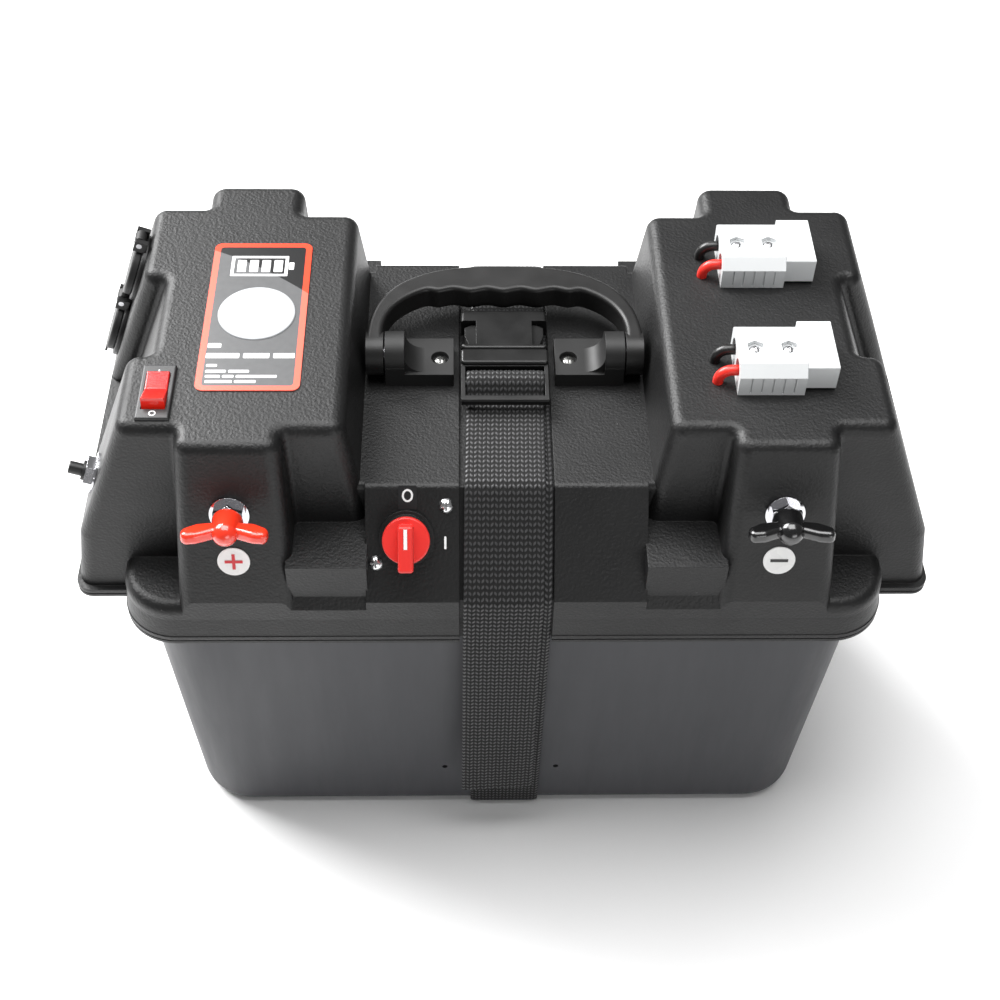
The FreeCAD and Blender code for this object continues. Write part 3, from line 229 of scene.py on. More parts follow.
def lid_plastic():
    """Black pebble-grained moulding: rounded cells of about a millimetre over a finer grain."""
    s = Shader("lid_pebble_black", Specular_IOR_Level=0.36)
    cloud = s.noise(9, 4, 0.6)
    tone = s.mix(cloud, (0.0040, 0.0040, 0.0041), (0.0080, 0.0080, 0.0082))
    speck = s.math("LESS_THAN", s.cells(55), 0.014)
    tone = s.mix(s.math("MULTIPLY", speck, 0.5), tone, (0.22, 0.22, 0.22))
    s.colour(tone)
    s.roughness(s.ramp(s.noise(30, 3), 0.3, 0.7, 0.42, 0.50))
    x, _, _ = s.axes()
    off_seam = s.math("ABSOLUTE", s.math("SUBTRACT", s.math("ABSOLUTE", x), LID_SPLIT * MM))
    off_wing = s.math("ABSOLUTE", s.math("SUBTRACT", x, WING_SPLIT * MM))
    off_seam = s.math("MINIMUM", off_seam, off_wing)
    clear = s.math("GREATER_THAN", off_seam, SEAM_HALF * MM)
    smooth = s.blend_vectors(clear, s.true_normal(), s.bevel(0.7 * MM))
    pebble = s.ramp(s.cells(760, "SMOOTH_F1"), 0.0, 0.7, 1.0, 0.0)
    relief = s.math("ADD", pebble, s.math("MULTIPLY", s.noise(1500, 2), 0.7))
    s.normal(s.bump(relief, 0.12 * MM, smooth))
    return s.material


def tub_plastic():
    """Smooth dark grey moulding with faint scuffs running down the walls."""
    s = Shader("tub_smooth_grey", Specular_IOR_Level=0.25)
    scuff = s.noise(70, 5, 0.65, s.stretched(1.0, 1.0, 0.12))
    tone = s.mix(s.noise(11, 4), (0.044, 0.0445, 0.049), (0.054, 0.0545, 0.0595))
    tone = s.mix(s.ramp(scuff, 0.62, 0.75, 0.0, 0.15), tone, (0.10, 0.10, 0.11))
    s.colour(tone)
    s.roughness(s.ramp(scuff, 0.35, 0.7, 0.42, 0.56))
    s.normal(s.bump(s.noise(1900, 2), 0.012 * MM, s.bevel(0.6 * MM)))
    return s.material


def webbing(name, colour):
    """Woven polypropylene: shiny slanted stitches with painted shade in the gaps between them, and fine
    filaments along each yarn.
    """
    s = Shader(name, Specular_IOR_Level=0.6)
    relief = s.ramp(s.attribute("weave"), 0.42, 0.88, 0.0, 1.0)
    yarn = s.noise(2600, 3, 0.6, s.stretched(1.0, 0.35, 0.35))
    bright = s.mix(s.ramp(yarn, 0.4, 0.75, 0.0, 1.0), tint(colour, 0.7), tint(colour, 1.5))
    # painted shade: where the stitch relief is low the colour falls almost to black
    s.colour(s.mix(relief, tint(colour, 0.02), bright))
    s.roughness(s.ramp(relief, 0.0, 1.0, 0.95, 0.36))
    s.normal(s.bump(yarn, 0.04 * MM))
    return s.material


LABEL_BOX = (-149.0, -55.0, -99.0, 52.6)      # mm: left, front, right, back
LABEL_CORNER = 5.0
LABEL_BORDER = 3.1
REFLECTION_LEFT = (-146.4, 45.8)       # mm, left end of the line above the painted reflection
REFLECTION_RIGHT = (-99.1, 13.9)       # its right end
REFLECTION_BOW = 9.6                   # mm, four times its bow in the middle


def label_face(box_mm):
    """Printed laminate: orange border and black face, both painted paler below a bowed line as a painted
    reflection.
    """
    x0, y0, x1, y1 = (v * MM for v in box_mm)
    s = Shader("label_laminate", Roughness=0.28, Coat_Weight=0.3, Coat_Roughness=0.12)
    x, y, _ = s.axes()
    across = s.math("SUBTRACT", s.math("ABSOLUTE", s.math("SUBTRACT", x, (x0 + x1) / 2)), (x1 - x0) / 2)
    along = s.math("SUBTRACT", s.math("ABSOLUTE", s.math("SUBTRACT", y, (y0 + y1) / 2)), (y1 - y0) / 2)
    corner = LABEL_CORNER * MM
    qx = s.math("MAXIMUM", s.math("ADD", across, corner), 0.0)
    qy = s.math("MAXIMUM", s.math("ADD", along, corner), 0.0)
    length = s.math("SQRT", s.math("ADD", s.math("MULTIPLY", qx, qx), s.math("MULTIPLY", qy, qy)))
    furthest = s.math("MAXIMUM", s.math("ADD", across, corner), s.math("ADD", along, corner))
    inside = s.math("MINIMUM", furthest, 0.0)
    depth = s.math("SUBTRACT", s.math("ADD", length, inside), corner)
    border = s.math("GREATER_THAN", depth, -LABEL_BORDER * MM)
    wide = REFLECTION_RIGHT[0] - REFLECTION_LEFT[0]
    slope = (REFLECTION_RIGHT[1] - REFLECTION_LEFT[1]) / wide
    from_left = s.math("SUBTRACT", x, REFLECTION_LEFT[0] * MM)
    line = s.math("ADD", s.math("MULTIPLY", from_left, slope), REFLECTION_LEFT[1] * MM)
    share = s.math("DIVIDE", from_left, wide * MM)
    bow = s.math("MULTIPLY", share, s.math("SUBTRACT", 1.0, share))
    line = s.math("ADD", line, s.math("MULTIPLY", bow, REFLECTION_BOW * MM))
    # painted reflection: below the bowed line the black face and the orange border are painted paler
    painted_reflection = s.math("LESS_THAN", y, line)
    speckle = s.noise(300, 4)
    pale = s.mix(speckle, (0.085, 0.086, 0.088), (0.112, 0.113, 0.115))
    dark = s.mix(painted_reflection, (0.006, 0.006, 0.0065), pale)
    edge = s.mix(painted_reflection, (0.80, 0.052, 0.018), (0.83, 0.13, 0.088))
    s.colour(s.mix(border, dark, edge))
    s.normal(s.bump(s.noise(160, 3), 0.02 * MM))
    return s.material


WINDOW = (-123.6, -1.1)           # mm, centre of the meter's window
DIAL_FADE = (8.0, 17.0)           # mm, where the middle tone gives way to the outer one
DIAL_RIM = (17.2, 17.9)           # mm, where the rim's darker tone begins


def dial_face():
    """Frosted plastic disc with a mottled tone, a little paler outwards, and a darker rim."""
    s = Shader("dial_frosted", Roughness=0.5, Specular_IOR_Level=0.3)
    x, y, _ = s.axes()
    dx = s.math("SUBTRACT", x, WINDOW[0] * MM)
    dy = s.math("SUBTRACT", y, WINDOW[1] * MM)
    radius = s.math("SQRT", s.math("ADD", s.math("MULTIPLY", dx, dx), s.math("MULTIPLY", dy, dy)))
    outward = s.ramp(radius, DIAL_FADE[0] * MM, DIAL_FADE[1] * MM, 0.0, 1.0)
    tone = s.mix(outward, (0.42, 0.43, 0.45), (0.47, 0.48, 0.50))
    at_rim = s.ramp(radius, DIAL_RIM[0] * MM, DIAL_RIM[1] * MM, 0.0, 1.0)
    tone = s.mix(at_rim, tone, (0.36, 0.37, 0.38))
    s.colour(s.mix(s.math("MULTIPLY", s.noise(120, 4), 0.25), tone, (0.52, 0.53, 0.545)))
    s.normal(s.bump(s.noise(700, 2), 0.004 * MM))
    return s.material


ROCKER_LIT = (-50.0, -66.0)       # mm along Y, from the dim end to the bright end of the painted glow
ROCKER_RIB = 1.6                  # mm, pitch of the moulding's fine ribs


def rocker_red():
    """Clear red moulding with fine ribs and a painted glow: colour and emission grow brighter towards its
    front end.
    """
    s = Shader("rocker_clear_red", Roughness=0.16, Transmission_Weight=0.25, IOR=1.49, Coat_Weight=0.4,
               Coat_Roughness=0.08, Emission_Strength=0.16)
    _, y, _ = s.axes()
    # painted glow: the colour brightens and the emission grows towards the front end
    lit = s.ramp(y, ROCKER_LIT[0] * MM, ROCKER_LIT[1] * MM, 0.0, 1.0)
    s.colour(s.mix(lit, (0.48, 0.008, 0.008), (0.86, 0.02, 0.012)))
    s.put(s.bsdf.inputs["Emission Color"], s.mix(lit, (0.12, 0.0, 0.0), (1.0, 0.03, 0.01)))
    ribs = s.math("SINE", s.math("MULTIPLY", y, 2 * math.pi / (ROCKER_RIB * MM)))
    s.normal(s.bump(ribs, 0.02 * MM, s.bevel(0.25 * MM)))
    return s.material


def dipped(name, colour):
    """Thick vinyl dip: wet-looking coat with soft sags."""
    s = Shader(name, Roughness=0.2, Coat_Weight=0.8, Coat_Roughness=0.05, Specular_IOR_Level=0.6)
    s.colour(s.mix(s.noise(90, 3), tint(colour, 0.85), tint(colour, 1.12)))
    s.normal(s.bump(s.noise(130, 2), 0.25 * MM, s.bevel(1.2 * MM)))
    return s.material


def printed(name, colour, roughness=0.35):
    """Screen-printed ink with a slightly uneven film."""
    s = Shader(name, Roughness=roughness)
    s.colour(s.mix(s.noise(500, 4), tint(colour, 0.9), tint(colour, 1.05)))
    s.normal(s.bump(s.noise(1400, 2), 0.004 * MM))
    return s.material


def rubber_wire(name, colour):
    """Soft insulation: satin, with faint draw lines along it."""
    s = Shader(name, Roughness=0.34, Specular_IOR_Level=0.55)
    lines = s.noise(1100, 3, 0.6, s.stretched(0.15, 1.0, 1.0))
    s.colour(s.mix(lines, tint(colour, 0.85), tint(colour, 1.1)))
    s.normal(s.bump(lines, 0.02 * MM))
    return s.material


# ---------------------------------------------------------------- mesh helpers
def mesh_object(name, vertices, faces, material, smooth=True):
    mesh = bpy.data.meshes.new(name)
    mesh.from_pydata([tuple(v) for v in vertices], [], faces)
    mesh.validate()
    mesh.update()
    made = bmesh.new()
    made.from_mesh(mesh)
    bmesh.ops.recalc_face_normals(made, faces=made.faces)
    made.to_mesh(mesh)
    made.free()
    mesh.materials.append(material)
    if smooth:
        mesh.shade_smooth()
    piece = bpy.data.objects.new(name, mesh)
    bpy.context.scene.collection.objects.link(piece)
    return piece


def round_path(points, radii, step):
    """Samples along a path of straight runs joined by tangent arcs, in mm, with a radius for each point."""
    points = [Vector(p) for p in points]
    curve = [points[0]]
    for i in range(1, len(points) - 1):
        to_before = (points[i - 1] - points[i]).normalized()
        to_after = (points[i + 1] - points[i]).normalized()
        half = to_before.angle(to_after) / 2
        reach = radii[i] / math.tan(half)
        centre = points[i] + (to_before + to_after).normalized() * (radii[i] / math.sin(half))
        start = points[i] + to_before * reach
        end = points[i] + to_after * reach
        count = max(2, int(math.ceil((math.pi - 2 * half) * radii[i] / step)))
        turn = (start - centre).rotation_difference(end - centre)
        axis, angle = turn.to_axis_angle()
        for k in range(count + 1):
            curve.append(centre + Matrix.Rotation(angle * k / count, 3, axis) @ (start - centre))
    curve.append(points[-1])
    out = [curve[0]]
    carried = 0.0
    for a, b in zip(curve, curve[1:]):
        run = (b - a).length
        at = step - carried
        while at <= run:
            out.append(a + (b - a) * (at / run))
            at += step
        carried = (carried + run) % step if run > 0 else carried
    if (out[-1] - points[-1]).length > step * 0.3:
        out.append(points[-1])
    return out


YARN_WIDE = 2.08      # mm, one column of stitches
YARN_LONG = 3.1       # mm, one row of stitches
YARN_DEEP = 0.5       # mm, relief of the stitches
YARN_SAMPLES = 4      # mesh points across one column
EDGE_POWER = 10       # how late the webbing thins towards its edges


def stitch(u, v):
    """Relief of woven webbing, 0 to 1: slanted ovals leaning the other way in each next column."""
    column = u / YARN_WIDE
    k = math.floor(column)
    f = column - k - 0.5
    lean = 0.5 if k % 2 else -0.5
    wave = 0.5 + 0.5 * math.cos(2 * math.pi * (v / YARN_LONG + lean * f))
    return math.sqrt(max(0.0, 1 - (2 * f) ** 2)) * wave ** 0.7


def webbing_piece(name, centres, sides, width, thick, material, both=False):
    """Ribbon of woven webbing. centres: points in mm; sides: unit vector across at each.

    Its back is smooth unless both is set. Returns the piece and its length in mm.
    """
    across = int(round(width / YARN_WIDE * YARN_SAMPLES))
    count = len(centres)
    vertices = []
    relief = []
    run = 0.0
    for i, here in enumerate(centres):
        if i:
            run += (here - centres[i - 1]).length
        ahead = centres[min(i + 1, count - 1)] - centres[max(i - 1, 0)]
        side = sides[i]
        normal = side.cross(ahead).normalized()
        for face in (1, -1):
            for j in range(across + 1):
                if face < 0 and j in (0, across):
                    continue
                u = (j / across - 0.5) * width
                rim = 1 - abs(2 * u / width) ** EDGE_POWER
                raised = stitch(u + (0 if face > 0 else YARN_WIDE / 2), run)
                deep = (thick / 2 - YARN_DEEP + YARN_DEEP * raised) * math.sqrt(max(0.0, rim))
                if face < 0 and not both:
                    deep = thick / 2 * math.sqrt(max(0.0, rim))
                vertices.append((here + side * u + normal * (face * deep)) * MM)
                relief.append(raised)
    ring = 2 * across
    order = list(range(across + 1)) + [across + k for k in range(across - 1, 0, -1)]
    faces = []
    for i in range(count - 1):
        a, b = i * ring, (i + 1) * ring
        for k in range(ring):
            p, q = order[k], order[(k + 1) % ring]
            faces.append((a + p, a + q, b + q, b + p))
    faces.append([order[k] for k in range(ring)][::-1])
    faces.append([(count - 1) * ring + order[k] for k in range(ring)])
    piece = mesh_object(name, vertices, faces, material)
    weave = piece.data.attributes.new("weave", "FLOAT", "POINT")
    weave.data.foreach_set("value", relief)
    return piece, run


def prisms(name, outlines, origin, x_axis, y_axis, bottom, top, material):
    """Thin printed shapes: each closed outline (mm, in its plane) raised from bottom to top."""
    x_axis, y_axis = Vector(x_axis), Vector(y_axis)
    normal = x_axis.cross(y_axis)
    vertices = []
    faces = []
    for outline in outlines:
        start = len(vertices)
        n = len(outline)
        for z in (bottom, top):
            level = Vector(origin) + normal * z
            vertices += [(level + x_axis * x + y_axis * y) * MM for x, y in outline]
        faces.append([start + n + k for k in range(n)])
        faces.append([start + k for k in range(n)][::-1])
        faces += [(start + k, start + (k + 1) % n, start + n + (k + 1) % n, start + n + k) for k in range(n)]
    return mesh_object(name, vertices, faces, material, smooth=False)


def bar(x0, y0, x1, y1, r=0.4):
    """Rectangle with rounded corners."""
    points = []
    corners = ((x1 - r, y0 + r, -90), (x1 - r, y1 - r, 0), (x0 + r, y1 - r, 90), (x0 + r, y0 + r, 180))
    for cx, cy, start in corners:
        for t in (0, 30, 60, 90):
            angle = math.radians(start + t)
            points.append((cx + r * math.cos(angle), cy + r * math.sin(angle)))
    return points


RING_SIDES = 28


def ring_quads(cx, cy, rx, ry, wide):
    """Oval ring as a fan of four-sided outlines."""
    out = []
    for k in range(RING_SIDES):
        a, b = 2 * math.pi * k / RING_SIDES, 2 * math.pi * (k + 1) / RING_SIDES
        outer = [(cx + rx * math.cos(t), cy + ry * math.sin(t)) for t in (a, b)]
        inner = [(cx + (rx - wide) * math.cos(t), cy + (ry - wide) * math.sin(t)) for t in (b, a)]
        out.append(outer + inner)
    return out


LATHE_SIDES = 96


def lathe(name, profile, centre, material):
    """Solid of revolution about +Z through centre; profile is (radius, height) from rim bottom to middle."""
    sides = LATHE_SIDES
    vertices = []
    faces = []
    for r, z in profile:
        for k in range(sides):
            angle = 2 * math.pi * k / sides
            vertices.append((Vector(centre) + Vector((r * math.cos(angle), r * math.sin(angle), z))) * MM)
    for i in range(len(profile) - 1):
        for k in range(sides):
            a, b = i * sides + k, i * sides + (k + 1) % sides
            faces.append((a, b, b + sides, a + sides))
    faces.append(list(range(sides))[::-1])
    faces.append([(len(profile) - 1) * sides + k for k in range(sides)])
    return mesh_object(name, vertices, faces, material)


# ---------------------------------------------------------------- materials on the CAD nodes
LID = lid_plastic()
TUB = tub_plastic()
SATIN = plastic("satin_black", (0.006, 0.006, 0.0062), 0.42, 0.9, 0.012, 0.5, 0.15)
HANDLE = plastic("handle_black", (0.0075, 0.0073, 0.0072), 0.42, 0.7, 0.02, 0.5, 0.25, 0.2,
                 Specular_IOR_Level=0.4)
BRACKET = plastic("bracket_black", (0.009, 0.009, 0.009), 0.5, 0.5, 0.015, 0.5, 0.12, Specular_IOR_Level=0.4)
BUCKLE = plastic("buckle_black", (0.005, 0.005, 0.005), 0.34, 0.5, 0.012, 0.45, 0.15, Specular_IOR_Level=0.4)
SHELL = plastic("battery_shell", (0.04, 0.041, 0.045), 0.5, 0.8, 0.02, 0.6, 0.12)
CONNECTOR = plastic("connector_pale_grey", (0.64, 0.655, 0.66), 0.4, 0.5, 0.01, 0.35, 0.05)
SOCKET = plastic("socket_black", (0.007, 0.007, 0.0072), 0.4, 0.5, 0.015, 0.5, 0.15)
CAP = plastic("cap_soft_black", (0.009, 0.009, 0.0092), 0.55, 0.4, 0.02, 0.6, 0.15)
BEZEL = plastic("bezel_dark_grey", (0.022, 0.022, 0.023), 0.4, 0.5, 0.012, 0.35, 0.1)
SWITCH = plastic("switch_black", (0.005, 0.005, 0.0052), 0.42, 0.6, 0.02, 0.4, 0.1)
KNOB = plastic("knob_red", (0.72, 0.030, 0.024), 0.34, 0.5, 0.012, 0.7, 0.08)
METER = plastic("meter_body", (0.03, 0.03, 0.032), 0.5, 0.5, 0.015, 0.4, 0.1)
DISC = plastic("disc_white", (0.83, 0.83, 0.82), 0.3, 0.4, 0.006, 0.3, 0.03)
CHROME = metal("plated_chrome", (0.80, 0.80, 0.83), 0.1, 0.004)
ZINC = metal("zinc_screw", (0.72, 0.72, 0.73), 0.2, 0.006)
DARK_SCREW = metal("dark_screw", (0.34, 0.34, 0.33), 0.3, 0.006)
STEEL = metal("pin_steel", (0.55, 0.55, 0.57), 0.28, 0.006, (0.2, 1, 1))
LEAD = metal("post_lead", (0.36, 0.37, 0.39), 0.5, 0.03)
PLATE = metal("battery_plate", (0.22, 0.22, 0.24), 0.6, 0.05)
TIN = metal("tinned_contact", (0.66, 0.62, 0.52), 0.25, 0.006)
RED_DIP = dipped("dip_red", (0.80, 0.035, 0.012))
BLACK_DIP = dipped("dip_black", (0.004, 0.004, 0.0042))
WHITE_INK = printed("ink_white", (0.80, 0.80, 0.80))
RED_INK = printed("ink_red", (0.62, 0.02, 0.03))
BLACK_INK = printed("ink_black", (0.012, 0.012, 0.013))
RED_WIRE = rubber_wire("wire_red", (0.74, 0.026, 0.016))
BLACK_WIRE = rubber_wire("wire_black", (0.007, 0.007, 0.007))
LOOP_WEB = webbing("webbing_loop", (0.042, 0.042, 0.044))
TAIL_WEB = webbing("webbing_tail", (0.036, 0.036, 0.038))

FINISH = {
    LID: ["lid_middle", "lid_left", "lid_right", "lid_wing_front", "lid_wing_middle", "lid_wing_back"],
    TUB: ["tub"],
    SATIN: ["socket_nuts"],
    HANDLE: ["handle"],
    BRACKET: ["handle_bracket_left", "handle_bracket_right"],
    BUCKLE: ["buckle_female", "buckle_male", "buckle_prong_left", "buckle_prong_right"],
    SHELL: ["battery_case", "battery_cover"],
    CONNECTOR: ["connector_rear", "connector_front"],
    SOCKET: ["socket_upper", "socket_lower", "breaker_body", "breaker_button"],
    CAP: ["socket_cap_upper", "socket_cap_lower"],
    BEZEL: ["rocker_breaker_body"],
    SWITCH: ["switch_base", "switch_body"],
    KNOB: ["switch_knob"],
    METER: ["voltmeter_body"],
    DISC: ["polarity_disc_positive", "polarity_disc_negative", "knob_pointer"],
    CHROME: ["flange_nuts", "terminal_studs", "terminal_inner_nuts", "breaker_nuts"],
    ZINC: ["switch_screws", "connector_screws"],
    DARK_SCREW: ["bracket_screws"],
    STEEL: ["handle_pins", "socket_cap_pins"],
    LEAD: ["battery_posts"],
    PLATE: ["battery_plates"],
    TIN: ["connector_contacts", "socket_contacts"],
    RED_DIP: ["wing_nut_red"],
    BLACK_DIP: ["wing_nut_black"],
    RED_INK: ["plus_mark"],
    BLACK_INK: ["minus_mark"],
    RED_WIRE: ["battery_lead_positive", "connector_leads_red"],
    BLACK_WIRE: ["battery_lead_negative", "connector_leads_black"],
    LOOP_WEB: ["strap_lower", "strap_upper"],
    TAIL_WEB: ["strap_tail"],
    label_face(LABEL_BOX): ["label_plate"],
    dial_face(): ["voltmeter_window"],
    rocker_red(): ["rocker_button"],
}
for material, names in FINISH.items():
    for name in names:
        slots = NODES[name].material_slots
        if not slots:
            NODES[name].data.materials.append(material)
        for place in slots:
            place.material = material

# ---------------------------------------------------------------- strap
WEB_WIDE = 39.5       # mm
WEB_THICK = 1.8       # mm, over the stitches
WEB_STEP = 0.75       # mm, mesh rows along the webbing
LOOP_X = 2.75         # mm, centre line of the loop
# (y, z) in mm, from the buckle back over the lid, down, under the tub, up the front and back to the buckle
LOOP_PATH = [(12.0, 259.2), (83.2, 259.2), (116.2, 215.7), (116.2, 182.5), (101.9, 6.4), (101.0, 3.1),
             (98.5, 2.2), (-98.5, 2.2), (-101.0, 3.1), (-101.9, 6.4), (-116.2, 182.5), (-116.2, 215.7),
             (-79.1, 259.2), (-14.0, 259.2)]
LOOP_TURN = [0, 7, 7, 40, 3, 1.2, 2, 2, 1.2, 3, 40, 7, 7, 0]      # mm, radius at each point


def make_loop():
    centres = round_path([(LOOP_X, y, z) for y, z in LOOP_PATH], LOOP_TURN, WEB_STEP)
    sides = [Vector((-1, 0, 0))] * len(centres)
    piece, run = webbing_piece("strap_loop_webbing", centres, sides, WEB_WIDE, WEB_THICK, LOOP_WEB)
    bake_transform(piece)
    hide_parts("strap_lower", "strap_upper")


# (x, y, z) in mm, from the ladder lock forward over the lid and down the front
TAIL_PATH = [(0.3, -7.0, 264.6), (0.3, -11.5, 270.9), (0.2, -18.0, 271.2), (0.1, -26.5, 261.6),
             (-0.1, -36.0, 261.3), (-0.9, -80.3, 261.4), (-1.5, -118.6, 216.7), (-1.8, -118.9, 186.0),
             (-2.0, -119.2, 120.0), (-2.2, -119.7, 80.0), (-2.4, -119.3, 46.5)]
TAIL_TURN = [0, 2.2, 3.2, 4.5, 8, 8, 8, 50, 200, 80, 0]
TAIL_FRONT = -110.0   # mm, the tail hangs free only in front of this
TWIST_TOP = 150.0     # mm, height at which the free end starts to twist
TWIST_RUN = 104.0     # mm, height over which the twist grows
TAIL_TWIST = 4.0      # degrees at the end
TAIL_TILT = 0.6       # degrees at the end


def make_tail():
    centres = round_path(TAIL_PATH, TAIL_TURN, WEB_STEP)
    sides = []
    for p in centres:
        drop = min(1.0, max(0.0, (TWIST_TOP - p.z) / TWIST_RUN)) if p.y < TAIL_FRONT else 0.0
        turn = math.radians(TAIL_TWIST) * drop * drop
        tilt = math.radians(TAIL_TILT) * drop
        sides.append(Vector((math.cos(turn), math.sin(turn), -math.sin(tilt))).normalized())
    piece, run = webbing_piece("strap_tail_webbing", centres, sides, WEB_WIDE, WEB_THICK, TAIL_WEB, both=True)
    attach(piece, "lid_body")
    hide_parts("strap_tail")


make_loop()
make_tail()

# ---------------------------------------------------------------- meter
TOP = 300.6           # mm, face of the label and the meter
BEZEL_TOP = 301.8     # mm, face of the rocker's bezel
FLAT_X, FLAT_Y = (1, 0, 0), (0, 1, 0)
DIAL_PROFILE = [(19.2, -0.6), (19.2, 0.25), (18.9, 0.55), (18.2, 0.6), (17.6, 0.5), (17.1, 0.2),
                (16.4, 0.12), (10.0, 0.12), (4.0, 0.12)]
SCREEN_BOX = (-137.0, -13.6, -109.6, 0.6, 1.0)      # mm: left, front, right, back, corner
SCREEN_Z = (0.10, 0.16)
DIGIT_Z = (0.16, 0.22)
DIGIT_AT = (-134.3, -11.2)        # mm, front left of the first digit
DIGIT_PITCH = 8.0
DIGIT_WIDE = 5.0
DIGIT_HIGH = 9.4
DIGIT_STROKE = 1.3
DIGIT_SLANT = 0.05
SEGMENT_GAP = 0.22
MARK_THICK = 0.05                 # mm, film of ink on the label and the bezel


def ride_slot(piece, slot, *replaced):
    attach(piece, "lid_body")
    if replaced:
        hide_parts(*replaced)


def make_dial():
    dial = lathe("voltmeter_dial", DIAL_PROFILE, (WINDOW[0], WINDOW[1], TOP), dial_face())
    ride_slot(dial, "meter_window", "voltmeter_window")
    screen = prisms("voltmeter_screen", [bar(*SCREEN_BOX)], (0, 0, TOP), FLAT_X, FLAT_Y, *SCREEN_Z,
                    printed("screen_grey", (0.37, 0.38, 0.39), 0.5))
    ride_slot(screen, "meter_window")


def digit(x, y):
    """Seven segments lit as an eight, each a bar with pointed ends."""
    out = []

    def lean(points):
        return [(px + (py - y) * DIGIT_SLANT, py) for px, py in points]

    half = DIGIT_STROKE / 2
    inset = half + SEGMENT_GAP
    for level in (0, DIGIT_HIGH / 2, DIGIT_HIGH):
        a, b, c = x + inset, x + DIGIT_WIDE - inset, y + level
        out.append(lean([(a - half, c), (a, c - half), (b, c - half),
                         (b + half, c), (b, c + half), (a, c + half)]))
    for side in (x, x + DIGIT_WIDE):
        for low in (0, DIGIT_HIGH / 2):
            a, b = y + low + inset, y + low + DIGIT_HIGH / 2 - inset
            out.append(lean([(side, a - half), (side + half, a), (side + half, b), (side, b + half),
                             (side - half, b), (side - half, a)]))
    return out


def make_digits():
    """8.8.8 on the meter: three digits with a point after each of the first two."""
    outlines = []
    for k in range(3):
        x = DIGIT_AT[0] + DIGIT_PITCH * k
        outlines += digit(x, DIGIT_AT[1])
        if k < 2:
            outlines.append(bar(x + 6.2, -12.0, x + 7.2, -11.0, 0.3))
    piece = prisms("voltmeter_digits", outlines, (0, 0, TOP), FLAT_X, FLAT_Y, *DIGIT_Z, WHITE_INK)
    ride_slot(piece, "meter_window")


CELL_SIGN = (-139.5, 27.0, -110.5, 42.5)      # mm, outline of the battery sign: left, front, right, back
CELL_LINE = 1.6                               # mm, its line
CELL_BARS = 4
LABEL_RULES = [                               # mm: front, back, then the two ends of each bar
    (-33.0, -29.6, ((-145.6, -129.5), (-127.6, -115.0), (-113.1, -102.8))),
    (-39.0, -37.2, ((-144.8, -139.6),)),
    (-43.0, -41.2, ((-144.8, -135.0), (-133.8, -123.9))),
    (-46.5, -44.7, ((-144.6, -137.5), (-136.4, -131.0), (-129.9, -110.4))),
    (-50.0, -48.2, ((-144.4, -131.5), (-130.4, -120.2))),
]


def make_label_print():
    """Generic marks in place of wording: a battery sign and ruled bars, and I and O beside the rocker."""
    x0, y0, x1, y1 = CELL_SIGN
    rows = [bar(x0, y0, x1, y0 + CELL_LINE), bar(x0, y1 - CELL_LINE, x1, y1),
            bar(x0, y0 + 1.2, x0 + CELL_LINE, y1 - 1.2), bar(x1 - CELL_LINE, y0 + 1.2, x1, y1 - 1.2),
            bar(x1 + 0.4, 32.0, x1 + 3.0, 37.5)]
    for k in range(CELL_BARS):
        rows.append(bar(x0 + 3.2 + 6.2 * k, y0 + 3.2, x0 + 7.6 + 6.2 * k, y1 - 3.2))
    rows.append(bar(-145.4, -25.8, -138.9, -22.6, 0.6))
    for front, back, ends in LABEL_RULES:
        rows += [bar(a, front, b, back, 0.5) for a, b in ends]
    piece = prisms("label_marks", rows, (0, 0, TOP), FLAT_X, FLAT_Y, 0.0, MARK_THICK, WHITE_INK)
    ride_slot(piece, "label_face")
    marks = [bar(-166.7, -45.4, -166.1, -42.2, 0.25)]
    marks += ring_quads(-166.4, -71.3, 1.7, 1.7, 0.6)
    signs = prisms("rocker_marks", marks, (0, 0, BEZEL_TOP), FLAT_X, FLAT_Y, 0.0, MARK_THICK, WHITE_INK)
    ride_slot(signs, "bezel_grey")


make_dial()
make_digits()
make_label_print()

# ---------------------------------------------------------------- isolator markings
PANEL_X = (1, 0, 0)
PANEL_Y = (0, 0.648652, 0.761085)     # up the sloping panel
PANEL_EDGE = (0, -79.5, 260.0)        # mm, the panel's top edge


def on_panel(name, outlines, bottom, top, material, slot):
    piece = prisms(name, outlines, PANEL_EDGE, PANEL_X, PANEL_Y, bottom, top, material)
    ride_slot(piece, slot)


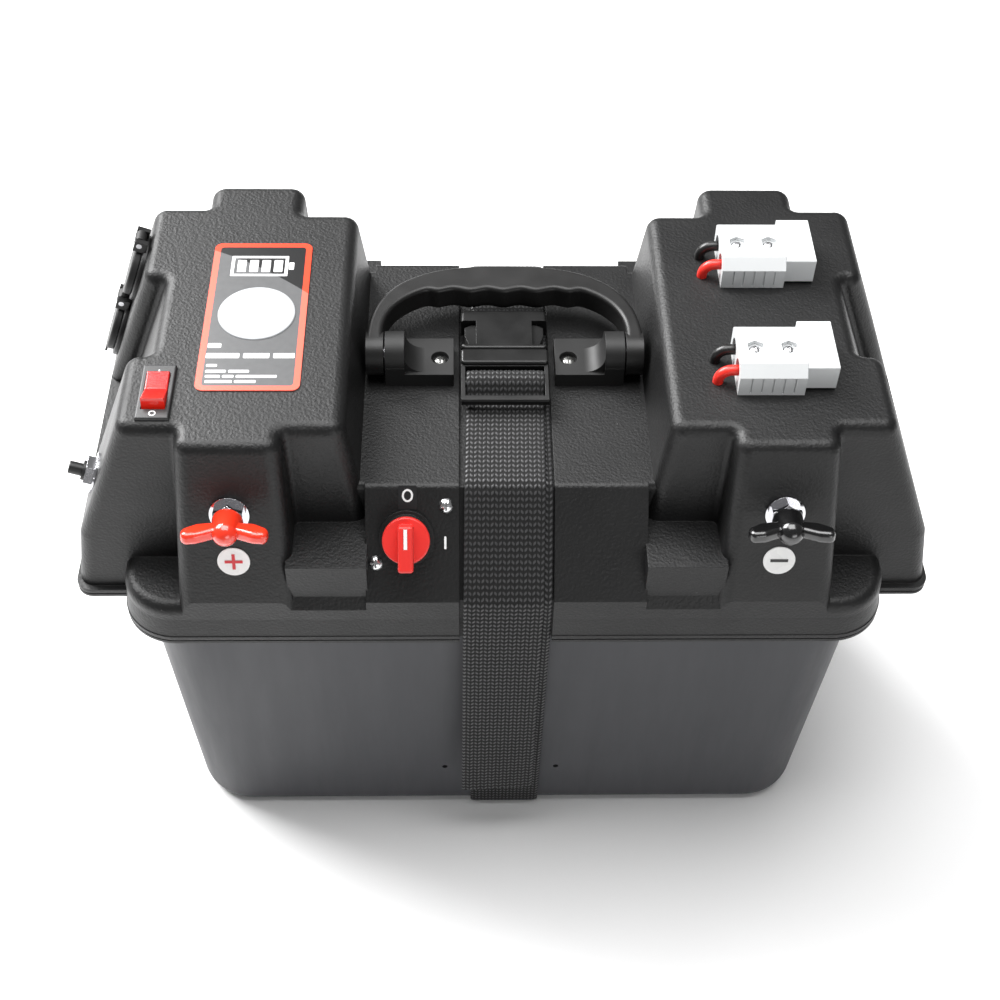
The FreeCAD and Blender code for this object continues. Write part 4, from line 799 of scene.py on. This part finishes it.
def make_switch_marks():
    """O on a small plate above the knob, and I beside it."""
    on_panel("off_plate", [bar(-52.8, -11.7, -43.9, 0.1, 0.5)], -0.05, 0.25, BLACK_INK, "switch_black")
    on_panel("off_mark", ring_quads(-48.3, -4.8, 2.7, 3.2, 0.95), 0.25, 0.3, WHITE_INK, "pointer_white")
    on_panel("on_mark", [bar(-30.6, -31.2, -29.5, -24.9, 0.4)], 0.0, 0.06, WHITE_INK, "pointer_white")


make_switch_marks()


# ---------------------------------------------------------------- floor and light
FLOOR_HALF = 6.0      # m
WORLD_STRENGTH = 0.2
SOFTBOXES = [         # name, place, target, width and height in m, power in W
    ("key_back_left", (-1.6, 1.35, 1.75), (-0.1, 0.0, 0.25), 1.9, 1.5, 170),
    ("overhead", (0.0, 0.2, 2.1), (0.0, 0.0, 0.25), 1.8, 1.4, 52),
    ("front_low", (1.0, -2.4, 0.7), (0.0, 0.0, 0.15), 1.6, 0.8, 14),
]


def make_floor():
    s = Shader("floor_pale", Roughness=0.7)
    s.colour(s.mix(s.noise(3, 3), (0.93, 0.93, 0.93), (0.96, 0.96, 0.96)))
    half = FLOOR_HALF
    corners = [(-half, -half, 0), (half, -half, 0), (half, half, 0), (-half, half, 0)]
    floor = mesh_object("floor", corners, [(0, 1, 2, 3)], s.material, smooth=False)


def softbox(name, at, target, wide, high, power):
    data = bpy.data.lights.new(name, "AREA")
    data.shape = "RECTANGLE"
    data.size = wide
    data.size_y = high
    data.energy = power
    light = bpy.data.objects.new(name, data)
    bpy.context.scene.collection.objects.link(light)
    aim = (Vector(target) - Vector(at)).to_track_quat("-Z", "Y")
    light.matrix_world = Matrix.Translation(Vector(at)) @ aim.to_matrix().to_4x4()


def make_light():
    world = bpy.data.worlds.new("studio")
    world.use_nodes = True
    background = world.node_tree.nodes["Background"]
    background.inputs["Color"].default_value = (1.0, 1.0, 1.0, 1.0)
    background.inputs["Strength"].default_value = WORLD_STRENGTH
    bpy.context.scene.world = world
    for box in SOFTBOXES:
        softbox(*box)


make_floor()
make_light()
